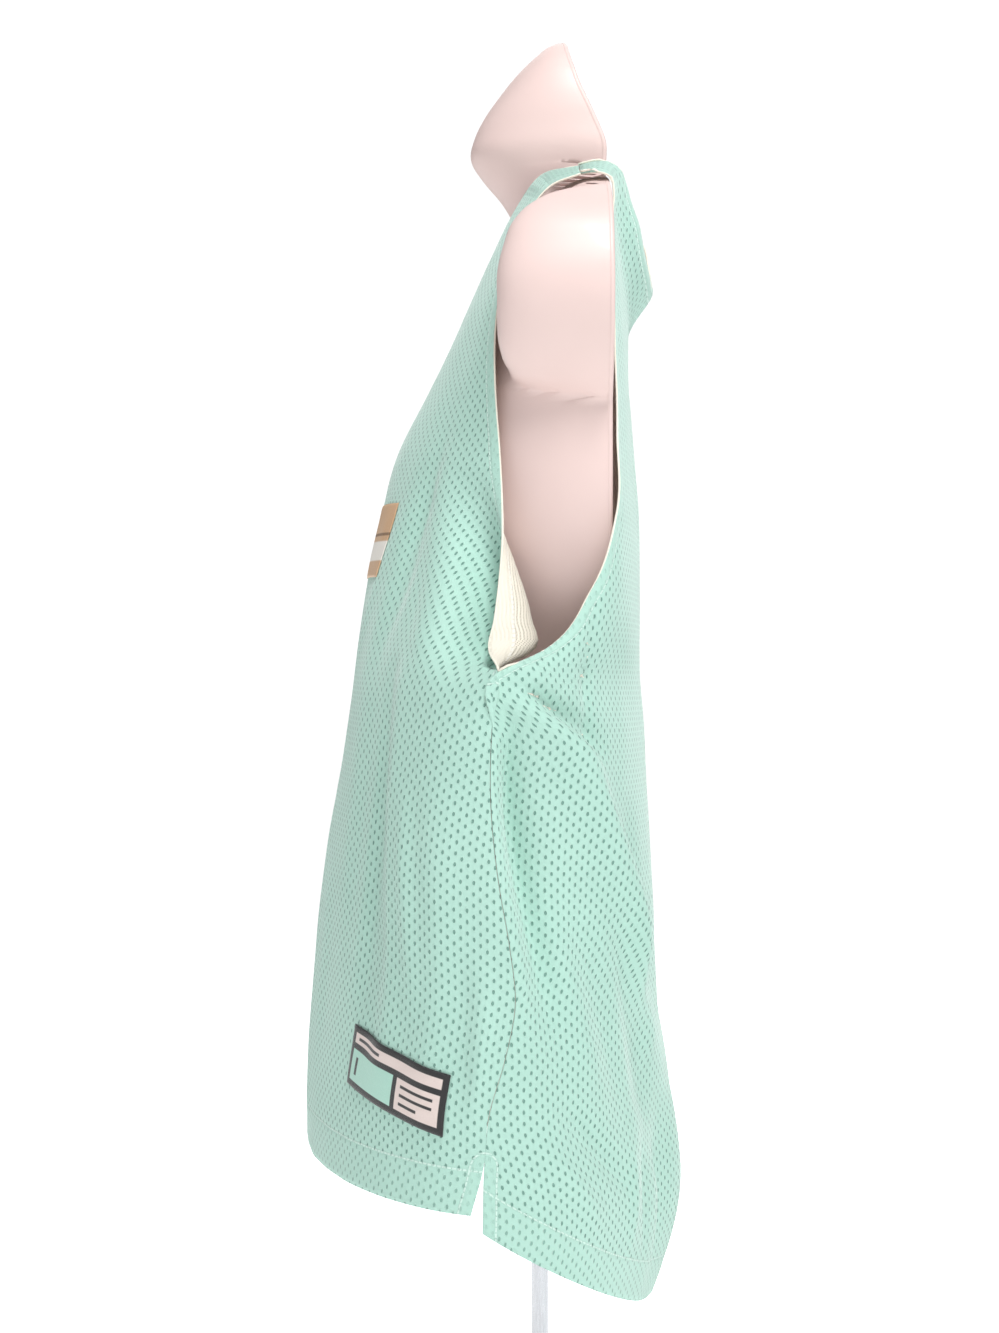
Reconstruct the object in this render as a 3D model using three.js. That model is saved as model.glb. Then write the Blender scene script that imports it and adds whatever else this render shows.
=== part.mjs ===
/*
 * A basketball jersey on the hollow-backed, limbless torso form that it hangs on.
 *
 * Millimetres. +Z is up, +X the wearer's left and -Y the front. The origin is on the
 * floor, in the middle of the base plate, under the pole.
 *
 * Jersey: a front and a back of open mesh, each lined with a finer mesh of the same cut,
 * a printed block on the chest and a woven label at the front hem.
 * Form: a moulded shell with an open back, a hip plate, a collar, a pole and a base plate.
 */

import * as THREE from 'three';

/** Rows of numbers, read by the names of their columns. */
const table = (names, rows) =>
  rows.map((row) => Object.fromEntries(names.map((name, i) => [name, row[i]])));

// ---------------------------------------------------------------- driving sizes

const PLY = 1.2;             // wall of the outer mesh
const PLY_GAP = 1.0;         // between the outer mesh and its lining
const LINING = 1.0;          // wall of the lining
const HEM_DEPTH = 27;        // turned-up hem, doubled
const VENT_HEM = 9;          // turned-in sides of the vents
const TURNED_EXTRA = 0.8;    // what a turned edge adds to the wall
const SEAM_GAP = 0.3;        // between pieces that are sewn together
const CLOTH_TO_FORM = 0.7;   // air between the lining and the form, where they are nearest

const OUT_REACH = 7;         // how far around a place its outward direction is taken
const EVENINGS = 3;          // how often the outward directions are evened out
const SLOUCH_MIDDLE = 16;    // how far the middle of the back neckline stands off
const SLOUCH_LEAN = 8;       // and how much more on the right, and less on the left
const SLOUCH_REACH = 26;     // how far below the back neckline the cloth still stands off
const SLOUCH_LIFT = 0.4;     // how far the standing-off back neckline rises, to each mm out
const PRINT_LIFT = 0.8;      // from the flat facets of the front to the print
const LABEL_LIFT = 1.0;      // and to the label, where the cloth is more rumpled

const UNDERARM = 337;        // pattern height of the underarm, from the front hem
const FRONT_TOP = 727;       // pattern height of the shoulder seam on the front
const BACK_TOP = 702;        // the same on the back
const FRONT_NECK_DROP = 142; // neckline below the shoulder seam, front
const BACK_NECK_DROP = 90;   // neckline below the shoulder seam, back
const NECK_SHARE = 0.58;     // share of the shoulder width that the neck takes
const BACK_SIDE_HEM = -11;   // the back's hem at the vent, below the front's
const TAIL_DROP = 84;        // how much longer the back is at its middle
const TAIL_ROUND = 2.2;

const SHOULDER_SLOPE = 0.27; // fall of the shoulder seam, from the neck outwards
const UNDERARM_SLOPE = 0.25; // fall of the cloth at the underarm

const FORM_WALL = 3;
const FORM_BACK = 43;        // the open back of the form lies in this plane
const FORM_BOTTOM = 258;
const BASE_RADIUS = 140;
const BASE_THICK = 12;
const STUMP_INNER = 139;      // from the middle to a stump's inner side
const POLE_RADIUS = 6;
const PLATE_THICK = 5;

// ---------------------------------------------------------------- tables

// Sections across the panels. `height` is the length of cloth above the front hem. Each
// section bends from its middle (y, z) to its edge (x, y, z), turning by `turn` degrees.
const SECTION = ['height', 'midY', 'midZ', 'edgeX', 'edgeY', 'edgeZ', 'turn'];

const FRONT_ROWS = table(SECTION, [
  [0, -167, 229, 252, -47, 219, 90],
  [30, -166.5, 259, 251, -39, 249, 90],
  [60, -164.5, 289, 251, -36, 280, 90],
  [95, -161, 324, 251, -26, 315, 90],
  [130, -158, 359, 250, -19.5, 350, 90],
  [165, -154.5, 394, 250, -23, 385, 90],
  [205, -150, 434, 250, -30, 426, 90],
  [260, -142.5, 488, 250, -35, 481, 90],
  [300, -137, 528, 249, -34, 520, 90],
  [337, -132, 564, 243, -30, 557, 88],
  [352, -130, 579, 229, -36, 569, 83],
  [375, -127, 602, 213, -33, 589, 76],
  [400, -123, 627, 198, -30, 613, 68],
  [440, -116, 662, 181, -28, 651, 60],
  [495, -103, 712, 165, -30, 703, 52],
  [545, -81, 755, 157, -33, 751, 46],
  [610, -55, 810, 146, -29, 812, 34],
  [649, -39, 846, 137, -19, 847, 22],
  [676, -22.5, 882, 133, -9, 867, 15],
  [702, -3, 910, 131, 5, 883.5, 12],
  [727, 25, 915.5, 130, 25, 891.5, 10],
]);

const BACK_ROWS = table(SECTION, [
  [-95, 80, 122, 253, -43, 120, 90],
  [-60, 89, 156, 253, -42, 158, 90],
  [-11, 94, 204, 252, -40, 208, 90],
  [30, 92, 246, 251, -39, 249, 90],
  [60, 89, 276, 251, -36, 280, 90],
  [95, 85, 311, 251, -26, 315, 90],
  [130, 82, 346, 250, -19.5, 350, 90],
  [165, 81, 381, 250, -23, 385, 90],
  [205, 79.5, 421, 250, -30, 426, 90],
  [260, 76.5, 476, 250, -35, 481, 90],
  [300, 74.5, 516, 249, -34, 520, 90],
  [337, 72, 553, 243, -30, 557, 88],
  [352, 71.5, 568, 222, -2, 570, 90],
  [390, 70, 606, 203, 30, 609, 88],
  [440, 68, 656, 182, 47.5, 659, 60],
  [495, 65.5, 711, 169, 48.5, 713, 24],
  [545, 63, 761, 158, 48, 763, 20],
  [590, 61.5, 806, 148, 47.5, 807, 16],
  [640, 56, 856, 138, 47, 855, 12],
  [662, 52.4, 885.7, 134.5, 47.5, 868, 12],
  [671, 53, 900, 133.5, 48, 878, 12],
  [678, 52, 911, 132.5, 46.5, 888, 12],
  [683, 47.5, 917.5, 132, 42, 891, 12],
  [692, 36, 919, 131, 34, 892.5, 11],
  [702, 25, 915.5, 130, 25, 891.5, 10],
]);

// The lower front of each armhole rolls outward. From the edge inwards, the cloth runs
// `back` towards the back and `inn` towards the form, and then returns to the panel.
const FLARE_PATH = table(['from', 'inn', 'back', 'share'], [
  [0, 0, 0, 1],
  [8, 6, 12, 1],
  [15, 15, 22, 1],
  [21, 25, 25, 1],
  [28, 33, 16, 1],
  [35, 34, 2, 1],
  [44, 27, -13, 0.85],
  [56, 15, -30, 0.5],
  [72, 5, -52, 0],
]);
const FLARE_REACH = table(['height', 'left', 'right'], [
  [312, 0, 0],
  [337, 0.3, 0.2],
  [350, 0.95, 0.65],
  [375, 0.8, 0.6],
  [410, 0.42, 0.4],
  [450, 0.12, 0.2],
  [480, 0, 0],
]);

// The largest folds: a ridge (depth > 0) or a trough from one place on the panel to
// another. Places are lengths of cloth: `across` from the middle, `height` from the hem.
const FOLD = ['across0', 'height0', 'across1', 'height1', 'depth', 'width'];

const FRONT_FOLDS = table(FOLD, [
  [205, 100, 196, 330, -9, 17],
  [150, 150, 160, 360, -6, 20],
  [262, 60, 255, 250, 5, 16],
  [118, 470, 138, 340, -7, 15],
  [60, 40, 48, 240, 4, 26],
  [-60, 30, -78, 300, -6, 24],
  [-150, 60, -138, 330, 6, 22],
  [-205, 90, -200, 320, -8, 18],
  [-125, 480, -146, 350, -6, 15],
  [-262, 50, -250, 240, 5, 16],
]);
const BACK_FOLDS = table(FOLD, [
  [262, 325, 120, 100, 10, 22],
  [258, 230, 180, 60, -9, 20],
  [60, 60, 62, -70, 7, 22],
  [100, 40, 112, -60, -7, 16],
  [-30, 110, -22, -80, 5, 26],
  [-240, 300, -130, 120, 8, 24],
  [-250, 200, -190, 50, -8, 20],
  [-110, 50, -118, -70, -6, 18],
]);

// The form, from its front: half width, foremost y and squareness of each level.
const TORSO_ROWS = table(['z', 'half', 'front', 'square'], [
  [258, 165, -88, 2.3],
  [320, 162, -91, 2.3],
  [432, 147, -82, 2.3],
  [515, 149, -82, 2.3],
  [566, 157, -87, 2.3],
  [617, 169, -96, 2.2],
  [650, 173, -99, 2.2],
  [684, 174, -93, 2.3],
  [718, 171, -81, 2.6],
  [738, 171, -69, 2.7],
  [755, 172, -57, 2.8],
  [775, 172, -46.5, 2.9],
  [795, 172, -39, 2.9],
  [820, 170, -29, 2.9],
  [845, 165, -20, 2.9],
  [862, 157, -12, 2.9],
  [875, 146, -4, 2.9],
  [885, 132, 5, 2.9],
  [892, 112, 13, 3.0],
  [898, 83, 23, 2.8],
  [904, 66, 33, 2.6],
  [912, 64, 42, 2.4],
  [930, 62, 42, 2.4],
]);
// The short stumps of the arms: outermost x and foremost y of each level.
const STUMP_ROWS = table(['z', 'half', 'front'], [
  [734, 171, 43],
  [738, 174, 14],
  [745, 180, -13],
  [756, 188, -24],
  [770, 196, -29.5],
  [786, 202.5, -31],
  [801, 206, -31],
  [816, 205, -31],
  [835, 198, -27],
  [853, 187, -20],
  [866, 172, -8],
  [875, 157, 8],
  [880, 147, 26],
  [883, 140, 43],
]);
const NECK_ROWS = table(['z', 'half', 'front', 'back'], [
  [840, 96, 0, 43],
  [866, 70, -16, 43],
  [883, 62, -20, 43],
  [898, 60, -29, 43],
  [912, 61, -41, 43.5],
  [927, 62, -50, 43.5],
  [941, 60, -47.5, 38.5],
  [956, 58, -40, 32],
  [970, 54, -30, 26],
  [985, 46, -18, 21.5],
  [998, 33, -5, 18.5],
  [1006, 19, 4, 17.5],
  [1010, 7, 10, 17],
]);

// ---------------------------------------------------------------- small helpers

/** Smooth value of `column` where the first column, `key`, is `at`. */
function smooth(rows, key, column, at) {
  const last = rows.length - 1;
  if (at <= rows[0][key]) return rows[0][column];
  if (at >= rows[last][key]) return rows[last][column];
  const i = rows.findIndex((row) => row[key] > at) - 1;
  const step = (k) => rows[k + 1][key] - rows[k][key];
  const secant = (k) => (rows[k + 1][column] - rows[k][column]) / step(k);
  const slope = (k) => {
    if (k === 0) return secant(0);
    if (k === last) return secant(last - 1);
    return (secant(k - 1) * step(k) + secant(k) * step(k - 1)) / (step(k - 1) + step(k));
  };
  const h = step(i);
  const t = (at - rows[i][key]) / h;
  const a = rows[i][column];
  const b = rows[i + 1][column];
  return a * (1 + 2 * t) * (1 - t) ** 2 + b * t * t * (3 - 2 * t)
    + h * slope(i) * t * (1 - t) ** 2 + h * slope(i + 1) * t * t * (t - 1);
}

const rad = (degrees) => (degrees * Math.PI) / 180;
const steps = (count) => Array.from({ length: count + 1 }, (_, i) => i / count);

// ---------------------------------------------------------------- the form's surface

/** Depth (y) of a rounded section of half width `half` at x, from `back` to `front`. */
function roundedDepth(x, half, front, back, square) {
  const t = Math.min(Math.abs(x) / half, 1);
  return back - (back - front) * (1 - t ** square) ** (1 / square);
}

const formBack = (z) => (z < 912 ? FORM_BACK : smooth(NECK_ROWS, 'z', 'back', z));
const torsoHalf = (z) => smooth(TORSO_ROWS, 'z', 'half', z);
const neckHalf = (z) => smooth(NECK_ROWS, 'z', 'half', z);
const isStump = (z) => z > STUMP_ROWS[0].z && z < STUMP_ROWS[STUMP_ROWS.length - 1].z;
const formHalf = (z) => {
  if (z >= 912) return neckHalf(z);
  return isStump(z) ? Math.max(torsoHalf(z), smooth(STUMP_ROWS, 'z', 'half', z)) : torsoHalf(z);
};

/** The nearer of two depths, run into each other over at most `most`. */
function joined(a, b, back, most) {
  const round = Math.min(most, 0.5 * (back - Math.max(a, b)));
  if (round <= 0) return Math.min(a, b);
  const near = Math.max(round - Math.abs(a - b), 0) / round;
  return Math.min(a, b) - (near * near * round) / 4;
}

/** Depth of an arm's stump, which reaches from STUMP_INNER out to its outermost x. */
function stumpFront(x, z) {
  if (!isStump(z)) return FORM_BACK;
  const radius = (smooth(STUMP_ROWS, 'z', 'half', z) - STUMP_INNER) / 2;
  const fromMiddle = Math.abs(x) - STUMP_INNER - radius;
  return roundedDepth(fromMiddle, radius, smooth(STUMP_ROWS, 'z', 'front', z), FORM_BACK, 2.6);
}

/** The form's outer surface: y at (x, z). Torso, neck and stumps run into each other. */
function formFront(x, z) {
  const back = formBack(z);
  const torso = z < 912
    ? roundedDepth(x, torsoHalf(z), smooth(TORSO_ROWS, 'z', 'front', z), back,
      smooth(TORSO_ROWS, 'z', 'square', z))
    : back;
  const neck = z > NECK_ROWS[0].z
    ? roundedDepth(x, neckHalf(z), smooth(NECK_ROWS, 'z', 'front', z), back, 2.2)
    : back;
  return joined(joined(torso, neck, back, 14), stumpFront(x, z), back, 8);
}

/** Height of the form's shoulder under (x, y). */
function formTop(x, y) {
  let low = 795;
  let high = 1010;
  for (let i = 0; i < 24; i++) {
    const z = (low + high) / 2;
    const inside = Math.abs(x) < formHalf(z) && formFront(x, z) < y;
    if (inside) low = z;
    else high = z;
  }
  return low;
}

/** Moves a point of the cloth's outer face clear of the form, the shortest way. */
function clearOfForm(point) {
  const room = PLY + PLY_GAP + LINING + CLOTH_TO_FORM;
  const { x, y, z } = point;
  if (Math.abs(x) > formHalf(z) || y > formBack(z) + room) return point;
  const forward = y - (formFront(x, z) - room);
  if (forward <= 0) return point;
  const backward = formBack(z) + room - y;
  const moves = [{ size: forward, dy: -forward, dz: 0 }, { size: backward, dy: backward, dz: 0 }];
  const upward = formTop(x, y) + room - z;
  if (z > 780) moves.push({ size: upward, dy: 0, dz: upward });
  const best = moves.reduce((a, b) => (b.size < a.size ? b : a));
  return new THREE.Vector3(x, y + best.dy, z + best.dz);
}

// ---------------------------------------------------------------- the jersey's surface

/** A section of a panel at one height, with its arc measured so it can be walked evenly. */
function sectionAt(rows, height) {
  const row = {};
  for (const name of SECTION) row[name] = smooth(rows, 'height', name, height);
  const turn = rad(row.turn);
  const place = (t) => new THREE.Vector3(
    (row.edgeX * Math.sin(turn * t)) / Math.sin(turn),
    row.midY + ((row.edgeY - row.midY) * (1 - Math.cos(turn * t))) / (1 - Math.cos(turn)),
    row.midZ + (row.edgeZ - row.midZ) * t * t,
  );
  const marks = steps(48);
  const lengths = [0];
  for (let i = 1; i < marks.length; i++) {
    lengths.push(lengths[i - 1] + place(marks[i]).distanceTo(place(marks[i - 1])));
  }
  const half = lengths[lengths.length - 1];
  const walk = (share) => {
    const length = Math.min(Math.abs(share), 1) * half;
    let i = 1;
    while (i < marks.length - 1 && lengths[i] < length) i += 1;
    const t = marks[i - 1]
      + ((marks[i] - marks[i - 1]) * (length - lengths[i - 1])) / (lengths[i] - lengths[i - 1]);
    const point = place(t);
    point.x *= Math.sign(share) || 1;
    return point;
  };
  return { half, walk, edge: new THREE.Vector3(row.edgeX, row.edgeY, row.edgeZ) };
}

/** How far a place on the cloth is moved out by the folds near it. */
function foldDepth(folds, across, height) {
  let depth = 0;
  for (const fold of folds) {
    const dx = fold.across1 - fold.across0;
    const dy = fold.height1 - fold.height0;
    const length2 = dx * dx + dy * dy;
    const t = ((across - fold.across0) * dx + (height - fold.height0) * dy) / length2;
    const along = THREE.MathUtils.clamp(t, 0, 1);
    const gap = Math.hypot(
      across - fold.across0 - along * dx, height - fold.height0 - along * dy);
    const ends = Math.sin(Math.PI * THREE.MathUtils.clamp(0.12 + 0.76 * along, 0, 1));
    depth += fold.depth * ends * Math.exp(-((gap / fold.width) ** 2));
  }
  return depth;
}

// Heights of the rows of points: up the side seam, and then up each armhole to the shoulder.
const SEAM_HEIGHTS = [30, 62, 96, 130, 166, 205, 250, 295, UNDERARM];
const FRONT_ARMHOLE = [350, 364, 382, 406, 440, 485, 525, 556, 585, 617, 649, 677, 703, FRONT_TOP];
const BACK_ARMHOLE = [352, 370, 392, 420, 455, 500, 550, 600, 640, 664, 673, 680, 688, BACK_TOP];

// Where the columns of points meet the round of the neck.
const NECK_ANGLES = [-90, -79, -64, -43, -22, 0, 22, 43, 64, 79, 90];

const FRONT = {
  facing: -1,
  armholeHeights: FRONT_ARMHOLE,
  rows: FRONT_ROWS,
  folds: FRONT_FOLDS,
  top: FRONT_TOP,
  neckDrop: FRONT_NECK_DROP,
  hem: () => 0,
};
const BACK = {
  facing: 1,
  armholeHeights: BACK_ARMHOLE,
  rows: BACK_ROWS,
  folds: BACK_FOLDS,
  top: BACK_TOP,
  neckDrop: BACK_NECK_DROP,
  hem: (share) => BACK_SIDE_HEM - TAIL_DROP * (1 - Math.abs(share) ** TAIL_ROUND),
};

/** Height where a panel ends: the shoulder seam, or the scoop of the neck between them. */
function panelTop(panel, share) {
  const t = Math.abs(share) / NECK_SHARE;
  return t < 1 ? panel.top - panel.neckDrop * Math.sqrt(1 - t * t) : panel.top;
}

/** The roll of the lower front armhole edge, as a move of a place `from` its edge. */
function flareMove(share, height, from, edge, point) {
  const side = share < 0 ? 'right' : 'left';
  const amount = smooth(FLARE_REACH, 'height', side, height)
    * smooth(FLARE_PATH, 'from', 'share', from);
  const sign = Math.sign(share) || 1;
  const target = new THREE.Vector3(
    sign * (edge.x - smooth(FLARE_PATH, 'from', 'inn', from)),
    edge.y + smooth(FLARE_PATH, 'from', 'back', from),
    point.z,
  );
  return target.sub(point).multiplyScalar(amount);
}

/** The back neckline slouches away from the nape, more on the wearer's right. */
function neckSlouch(share, height) {
  const round = Math.hypot(share / NECK_SHARE, (BACK_TOP - height) / BACK_NECK_DROP);
  const past = (Math.max(round - 1, 0) * BACK_NECK_DROP) / SLOUCH_REACH;
  const rise = THREE.MathUtils.smoothstep(BACK_TOP - height, 4, 66);
  const side = THREE.MathUtils.clamp(share / NECK_SHARE, -1, 1);
  return (SLOUCH_MIDDLE - SLOUCH_LEAN * side) * Math.exp(-past * past) * rise;
}

/** A place on the outer face of a panel: share -1..1 across, height along the cloth. */
function panelPoint(panel, share, height) {
  const section = sectionAt(panel.rows, height);
  const point = section.walk(share);
  const nudge = 0.004;
  const along = section.walk(Math.min(share + nudge, 1)).sub(section.walk(Math.max(share - nudge, -1)));
  const out = new THREE.Vector3(along.y, -along.x, 0).normalize().multiplyScalar(-panel.facing);
  const depth = foldDepth(panel.folds, share * section.half, height);
  const from = (1 - Math.abs(share)) * section.half;
  const held = height < UNDERARM ? THREE.MathUtils.smoothstep(from, 0, 14) : 1;
  point.addScaledVector(out, depth * held);
  if (panel === FRONT) point.add(flareMove(share, height, from, section.edge, section.walk(share)));
  else {
    const slouch = neckSlouch(share, height);
    point.y += slouch;
    point.z += SLOUCH_LIFT * slouch;
  }
  return clearOfForm(point);
}

/** The direction out of a panel, from places a little to each side, above and below. */
function panelOut(panel, share, height) {
  const reach = OUT_REACH / sectionAt(panel.rows, height).half;
  const across = panelPoint(panel, Math.min(share + reach, 1), height)
    .sub(panelPoint(panel, Math.max(share - reach, -1), height));
  const up = panelPoint(panel, share, Math.min(height + OUT_REACH, panel.top))
    .sub(panelPoint(panel, share, height - OUT_REACH));
  return across.cross(up).normalize().multiplyScalar(-panel.facing);
}

// ---------------------------------------------------------------- closed bodies from grids

/**
 * One closed wall between two grids of points of the same size. `outer` is seen with its
 * rows running up and its columns running to the right. Each cell is cut along the shorter
 * of its diagonals in `guide`, so that walls laid over each other are cut alike.
 */
function wallGeometry(outer, inner, guide = outer) {
  const rows = outer.length;
  const columns = outer[0].length;
  const positions = [...outer.flat(), ...inner.flat()].flatMap((p) => [p.x, p.y, p.z]);
  const index = [];
  const quad = (a, b, c, d) => index.push(a, b, c, a, c, d);
  const at = (j, i) => j * columns + i;
  const back = rows * columns;
  for (let j = 0; j < rows - 1; j++) {
    for (let i = 0; i < columns - 1; i++) {
      const ring = [at(j, i), at(j, i + 1), at(j + 1, i + 1), at(j + 1, i)];
      const rising = guide[j][i].distanceTo(guide[j + 1][i + 1]);
      const falling = guide[j][i + 1].distanceTo(guide[j + 1][i]);
      if (falling < rising) ring.push(ring.shift());
      quad(...ring);
      quad(...[ring[0], ring[3], ring[2], ring[1]].map((k) => back + k));
    }
  }
  for (let i = 0; i < columns - 1; i++) {
    quad(at(0, i + 1), at(0, i), back + at(0, i), back + at(0, i + 1));
    quad(at(rows - 1, i), at(rows - 1, i + 1), back + at(rows - 1, i + 1), back + at(rows - 1, i));
  }
  for (let j = 0; j < rows - 1; j++) {
    quad(at(j, 0), at(j + 1, 0), back + at(j + 1, 0), back + at(j, 0));
    quad(at(j + 1, columns - 1), at(j, columns - 1), back + at(j, columns - 1),
      back + at(j + 1, columns - 1));
  }
  const geometry = new THREE.BufferGeometry();
  geometry.setAttribute('position', new THREE.Float32BufferAttribute(positions, 3));
  geometry.setIndex(index);
  return geometry;
}

/** Outward directions of a grid of points whose rows run up and columns to the right. */
function outwards(grid) {
  const lastRow = grid.length - 1;
  const lastColumn = grid[0].length - 1;
  return grid.map((row, j) => row.map((_, i) => {
    const up = grid[Math.min(j + 1, lastRow)][i].clone().sub(grid[Math.max(j - 1, 0)][i]);
    const right = row[Math.min(i + 1, lastColumn)].clone().sub(row[Math.max(i - 1, 0)]);
    return right.cross(up).normalize();
  }));
}

/** Directions evened out with their neighbours', so that a wall's inner face doesn't fold. */
const evened = (outs) => outs.map((row, j) => row.map((out, i) => {
  const near = [outs[j - 1]?.[i], outs[j + 1]?.[i], row[i - 1], row[i + 1]].filter(Boolean);
  return near.reduce((sum, other) => sum.add(other), out.clone().multiplyScalar(2)).normalize();
}));

/** The grid moved along its outward directions. */
const moved = (grid, outs, distance) => grid.map((row, j) => row.map((point, i) =>
  point.clone().addScaledVector(outs[j][i], distance(j, i))));

/** Columns of a panel, closer together at the neck's corners and at the edges. */
function panelColumns() {
  const neck = NECK_ANGLES.map((angle) => NECK_SHARE * Math.sin(rad(angle)));
  const side = steps(6).slice(1).map((t) => NECK_SHARE + (1 - NECK_SHARE) * (1 - (1 - t) ** 1.5));
  return [...side.map((share) => -share).reverse(), ...neck, ...side];
}

/** Rows of a panel as shares of its height. Both panels have the same ones on the side seam. */
function panelRows(panel) {
  const hem = panel.hem(1);
  const heights = [hem, ...SEAM_HEIGHTS, ...panel.armholeHeights];
  return heights.map((height) => (height - hem) / (panel.top - hem));
}

/** Extra wall where the hem or a vent's side is turned in. */
function turnedExtra(panel, share, height, half) {
  const inHem = height - panel.hem(share) < HEM_DEPTH;
  const inVent = height < 30 && (1 - Math.abs(share)) * half < VENT_HEM;
  return inHem || inVent ? TURNED_EXTRA : 0;
}

/** Outward direction where two panels are sewn together, which they share. */
function sewnOut(share, height, level) {
  const sign = Math.sign(share);
  if (level > 0.9999 && Math.abs(share) >= NECK_SHARE - 1e-6) {
    return new THREE.Vector3(sign * SHOULDER_SLOPE, 0, 1).normalize();
  }
  if (Math.abs(share) < 0.9999 || height > UNDERARM + 1) return null;
  return new THREE.Vector3(sign, 0, height > UNDERARM - 1 ? UNDERARM_SLOPE : 0).normalize();
}

/** A panel's outer face as a grid, with its outward directions and turned edges. */
function panelGrid(panel) {
  const columns = panelColumns();
  if (panel.facing > 0) columns.reverse();
  const levels = panelRows(panel);
  const places = levels.map((level) => columns.map((share) => {
    const hem = panel.hem(share);
    return { share, level, height: hem + level * (panelTop(panel, share) - hem) };
  }));
  const points = places.map((row) => row.map(({ share, height }) => panelPoint(panel, share, height)));
  let outs = places.map((row) => row.map(({ share, height }) => panelOut(panel, share, height)));
  const extra = places.map((row) => row.map(({ share, height }) =>
    turnedExtra(panel, share, height, sectionAt(panel.rows, height).half)));
  const sewn = places.map((row) => row.map(({ share, level, height }) =>
    sewnOut(share, height, level)));
  const keepSewn = (grid) => grid.map((row, j) => row.map((out, i) => sewn[j][i] ?? out));
  for (let pass = 0; pass < EVENINGS; pass++) outs = keepSewn(evened(keepSewn(outs)));
  for (const [j, row] of sewn.entries()) {
    row.forEach((out, i) => {
      if (out) points[j][i].y += (panel.facing * SEAM_GAP) / 2;
    });
  }
  return { points, outs, extra };
}

/** One ply of a panel: the outer mesh, or the lining behind it. */
function plyGeometry(panel, isLining) {
  const { points, outs, extra } = panelGrid(panel);
  const near = (j, i) => (isLining ? PLY + PLY_GAP + extra[j][i] : 0);
  const far = (j, i) => (isLining ? near(j, i) + LINING : PLY + extra[j][i]);
  return wallGeometry(
    moved(points, outs, (j, i) => -near(j, i)), moved(points, outs, (j, i) => -far(j, i)), points);
}

/** A flat piece that lies on the front: four corners in lengths of cloth, moved out. */
function patchGeometry(corners, lift, thick, across, along) {
  const points = steps(along).map((t) => steps(across).map((s) => {
    const mix = (name) => (1 - t) * ((1 - s) * corners.lowRight[name] + s * corners.lowLeft[name])
      + t * ((1 - s) * corners.highRight[name] + s * corners.highLeft[name]);
    const height = mix('height');
    return panelPoint(FRONT, mix('across') / sectionAt(FRONT.rows, height).half, height);
  }));
  const outs = outwards(points);
  return wallGeometry(moved(points, outs, () => lift + thick), moved(points, outs, () => lift));
}

/** A rectangle of cloth on the front, by its middle and its size. */
function rectangle(across, height, wide, tall, tilt) {
  const corner = (sideways, upwards) => ({
    across: across + (sideways * wide) / 2,
    height: height + (upwards * tall) / 2 + tilt * sideways,
  });
  return {
    lowRight: corner(-1, -1), lowLeft: corner(1, -1), highRight: corner(-1, 1), highLeft: corner(1, 1),
  };
}

// ---------------------------------------------------------------- the form and its stand

/** The moulded shell: a wall behind the form's surface, open at the back and below. */
function formGeometry() {
  const levels = [258, 290, 330, 380, 432, 480, 520, 560, 590, 620, 650, 680, 705, 722, 734, 739,
    746, 756, 770, 786, 801, 816, 828, 841, 853, 862, 870, 877, 883, 888, 893, 898, 904, 912, 927,
    941, 956, 970, 985, 998, 1006, 1010];
  const shares = steps(28).map((t) => Math.sin(rad(180 * t - 90)));
  const outer = levels.map((z) => shares.map((share) => {
    const x = share * formHalf(z);
    return new THREE.Vector3(x, formFront(x, z), z);
  }));
  const outs = outwards(outer);
  outs.forEach((row, j) => {
    row[0].setY(0).normalize();
    row[row.length - 1].setY(0).normalize();
    if (j === 0) row.forEach((out) => out.setZ(0).normalize());
  });
  const inner = moved(outer, outs, () => -FORM_WALL);
  return wallGeometry(outer, inner);
}

/** The plate that closes the hip, cut to the form's lowest section. */
function hipPlateGeometry() {
  const half = formHalf(FORM_BOTTOM);
  const outline = steps(28).map((t) => {
    const x = half * Math.sin(rad(180 * t - 90));
    return new THREE.Vector2(x, formFront(x, FORM_BOTTOM));
  });
  const shape = new THREE.Shape(outline);
  const geometry = new THREE.ExtrudeGeometry(shape, { depth: PLATE_THICK, bevelEnabled: false });
  geometry.translate(0, 0, FORM_BOTTOM - SEAM_GAP - PLATE_THICK);
  return geometry;
}

/** A round piece about the pole's axis, from its profile of (radius, z). */
function turned(profile, segments = 40) {
  const geometry = new THREE.LatheGeometry(profile.map(([r, z]) => new THREE.Vector2(r, z)), segments);
  geometry.rotateX(Math.PI / 2);
  return geometry;
}

const poleTop = FORM_BOTTOM - 2 * SEAM_GAP - PLATE_THICK;
const collarInner = POLE_RADIUS + SEAM_GAP;

const basePlateGeometry = () => turned([
  [0, 0], [BASE_RADIUS - 3, 0], [BASE_RADIUS, 3], [BASE_RADIUS - 1, 8], [BASE_RADIUS - 6, 10],
  [60, BASE_THICK], [0, BASE_THICK],
], 56);
const footCollarGeometry = () => turned([
  [collarInner, BASE_THICK + SEAM_GAP], [24, BASE_THICK + SEAM_GAP], [22, BASE_THICK + 8],
  [13, BASE_THICK + 14], [12, BASE_THICK + 34], [collarInner, BASE_THICK + 34],
  [collarInner, BASE_THICK + SEAM_GAP],
], 32);
const hipCollarGeometry = () => turned([
  [collarInner, poleTop], [collarInner, poleTop - 36], [13, poleTop - 36], [14, poleTop - 10],
  [26, poleTop - 5], [26, poleTop], [collarInner, poleTop],
], 32);
const poleGeometry = () => turned([
  [0, BASE_THICK + SEAM_GAP], [POLE_RADIUS, BASE_THICK + SEAM_GAP], [POLE_RADIUS, poleTop], [0, poleTop],
], 24);

// ---------------------------------------------------------------- the assembly

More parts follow.
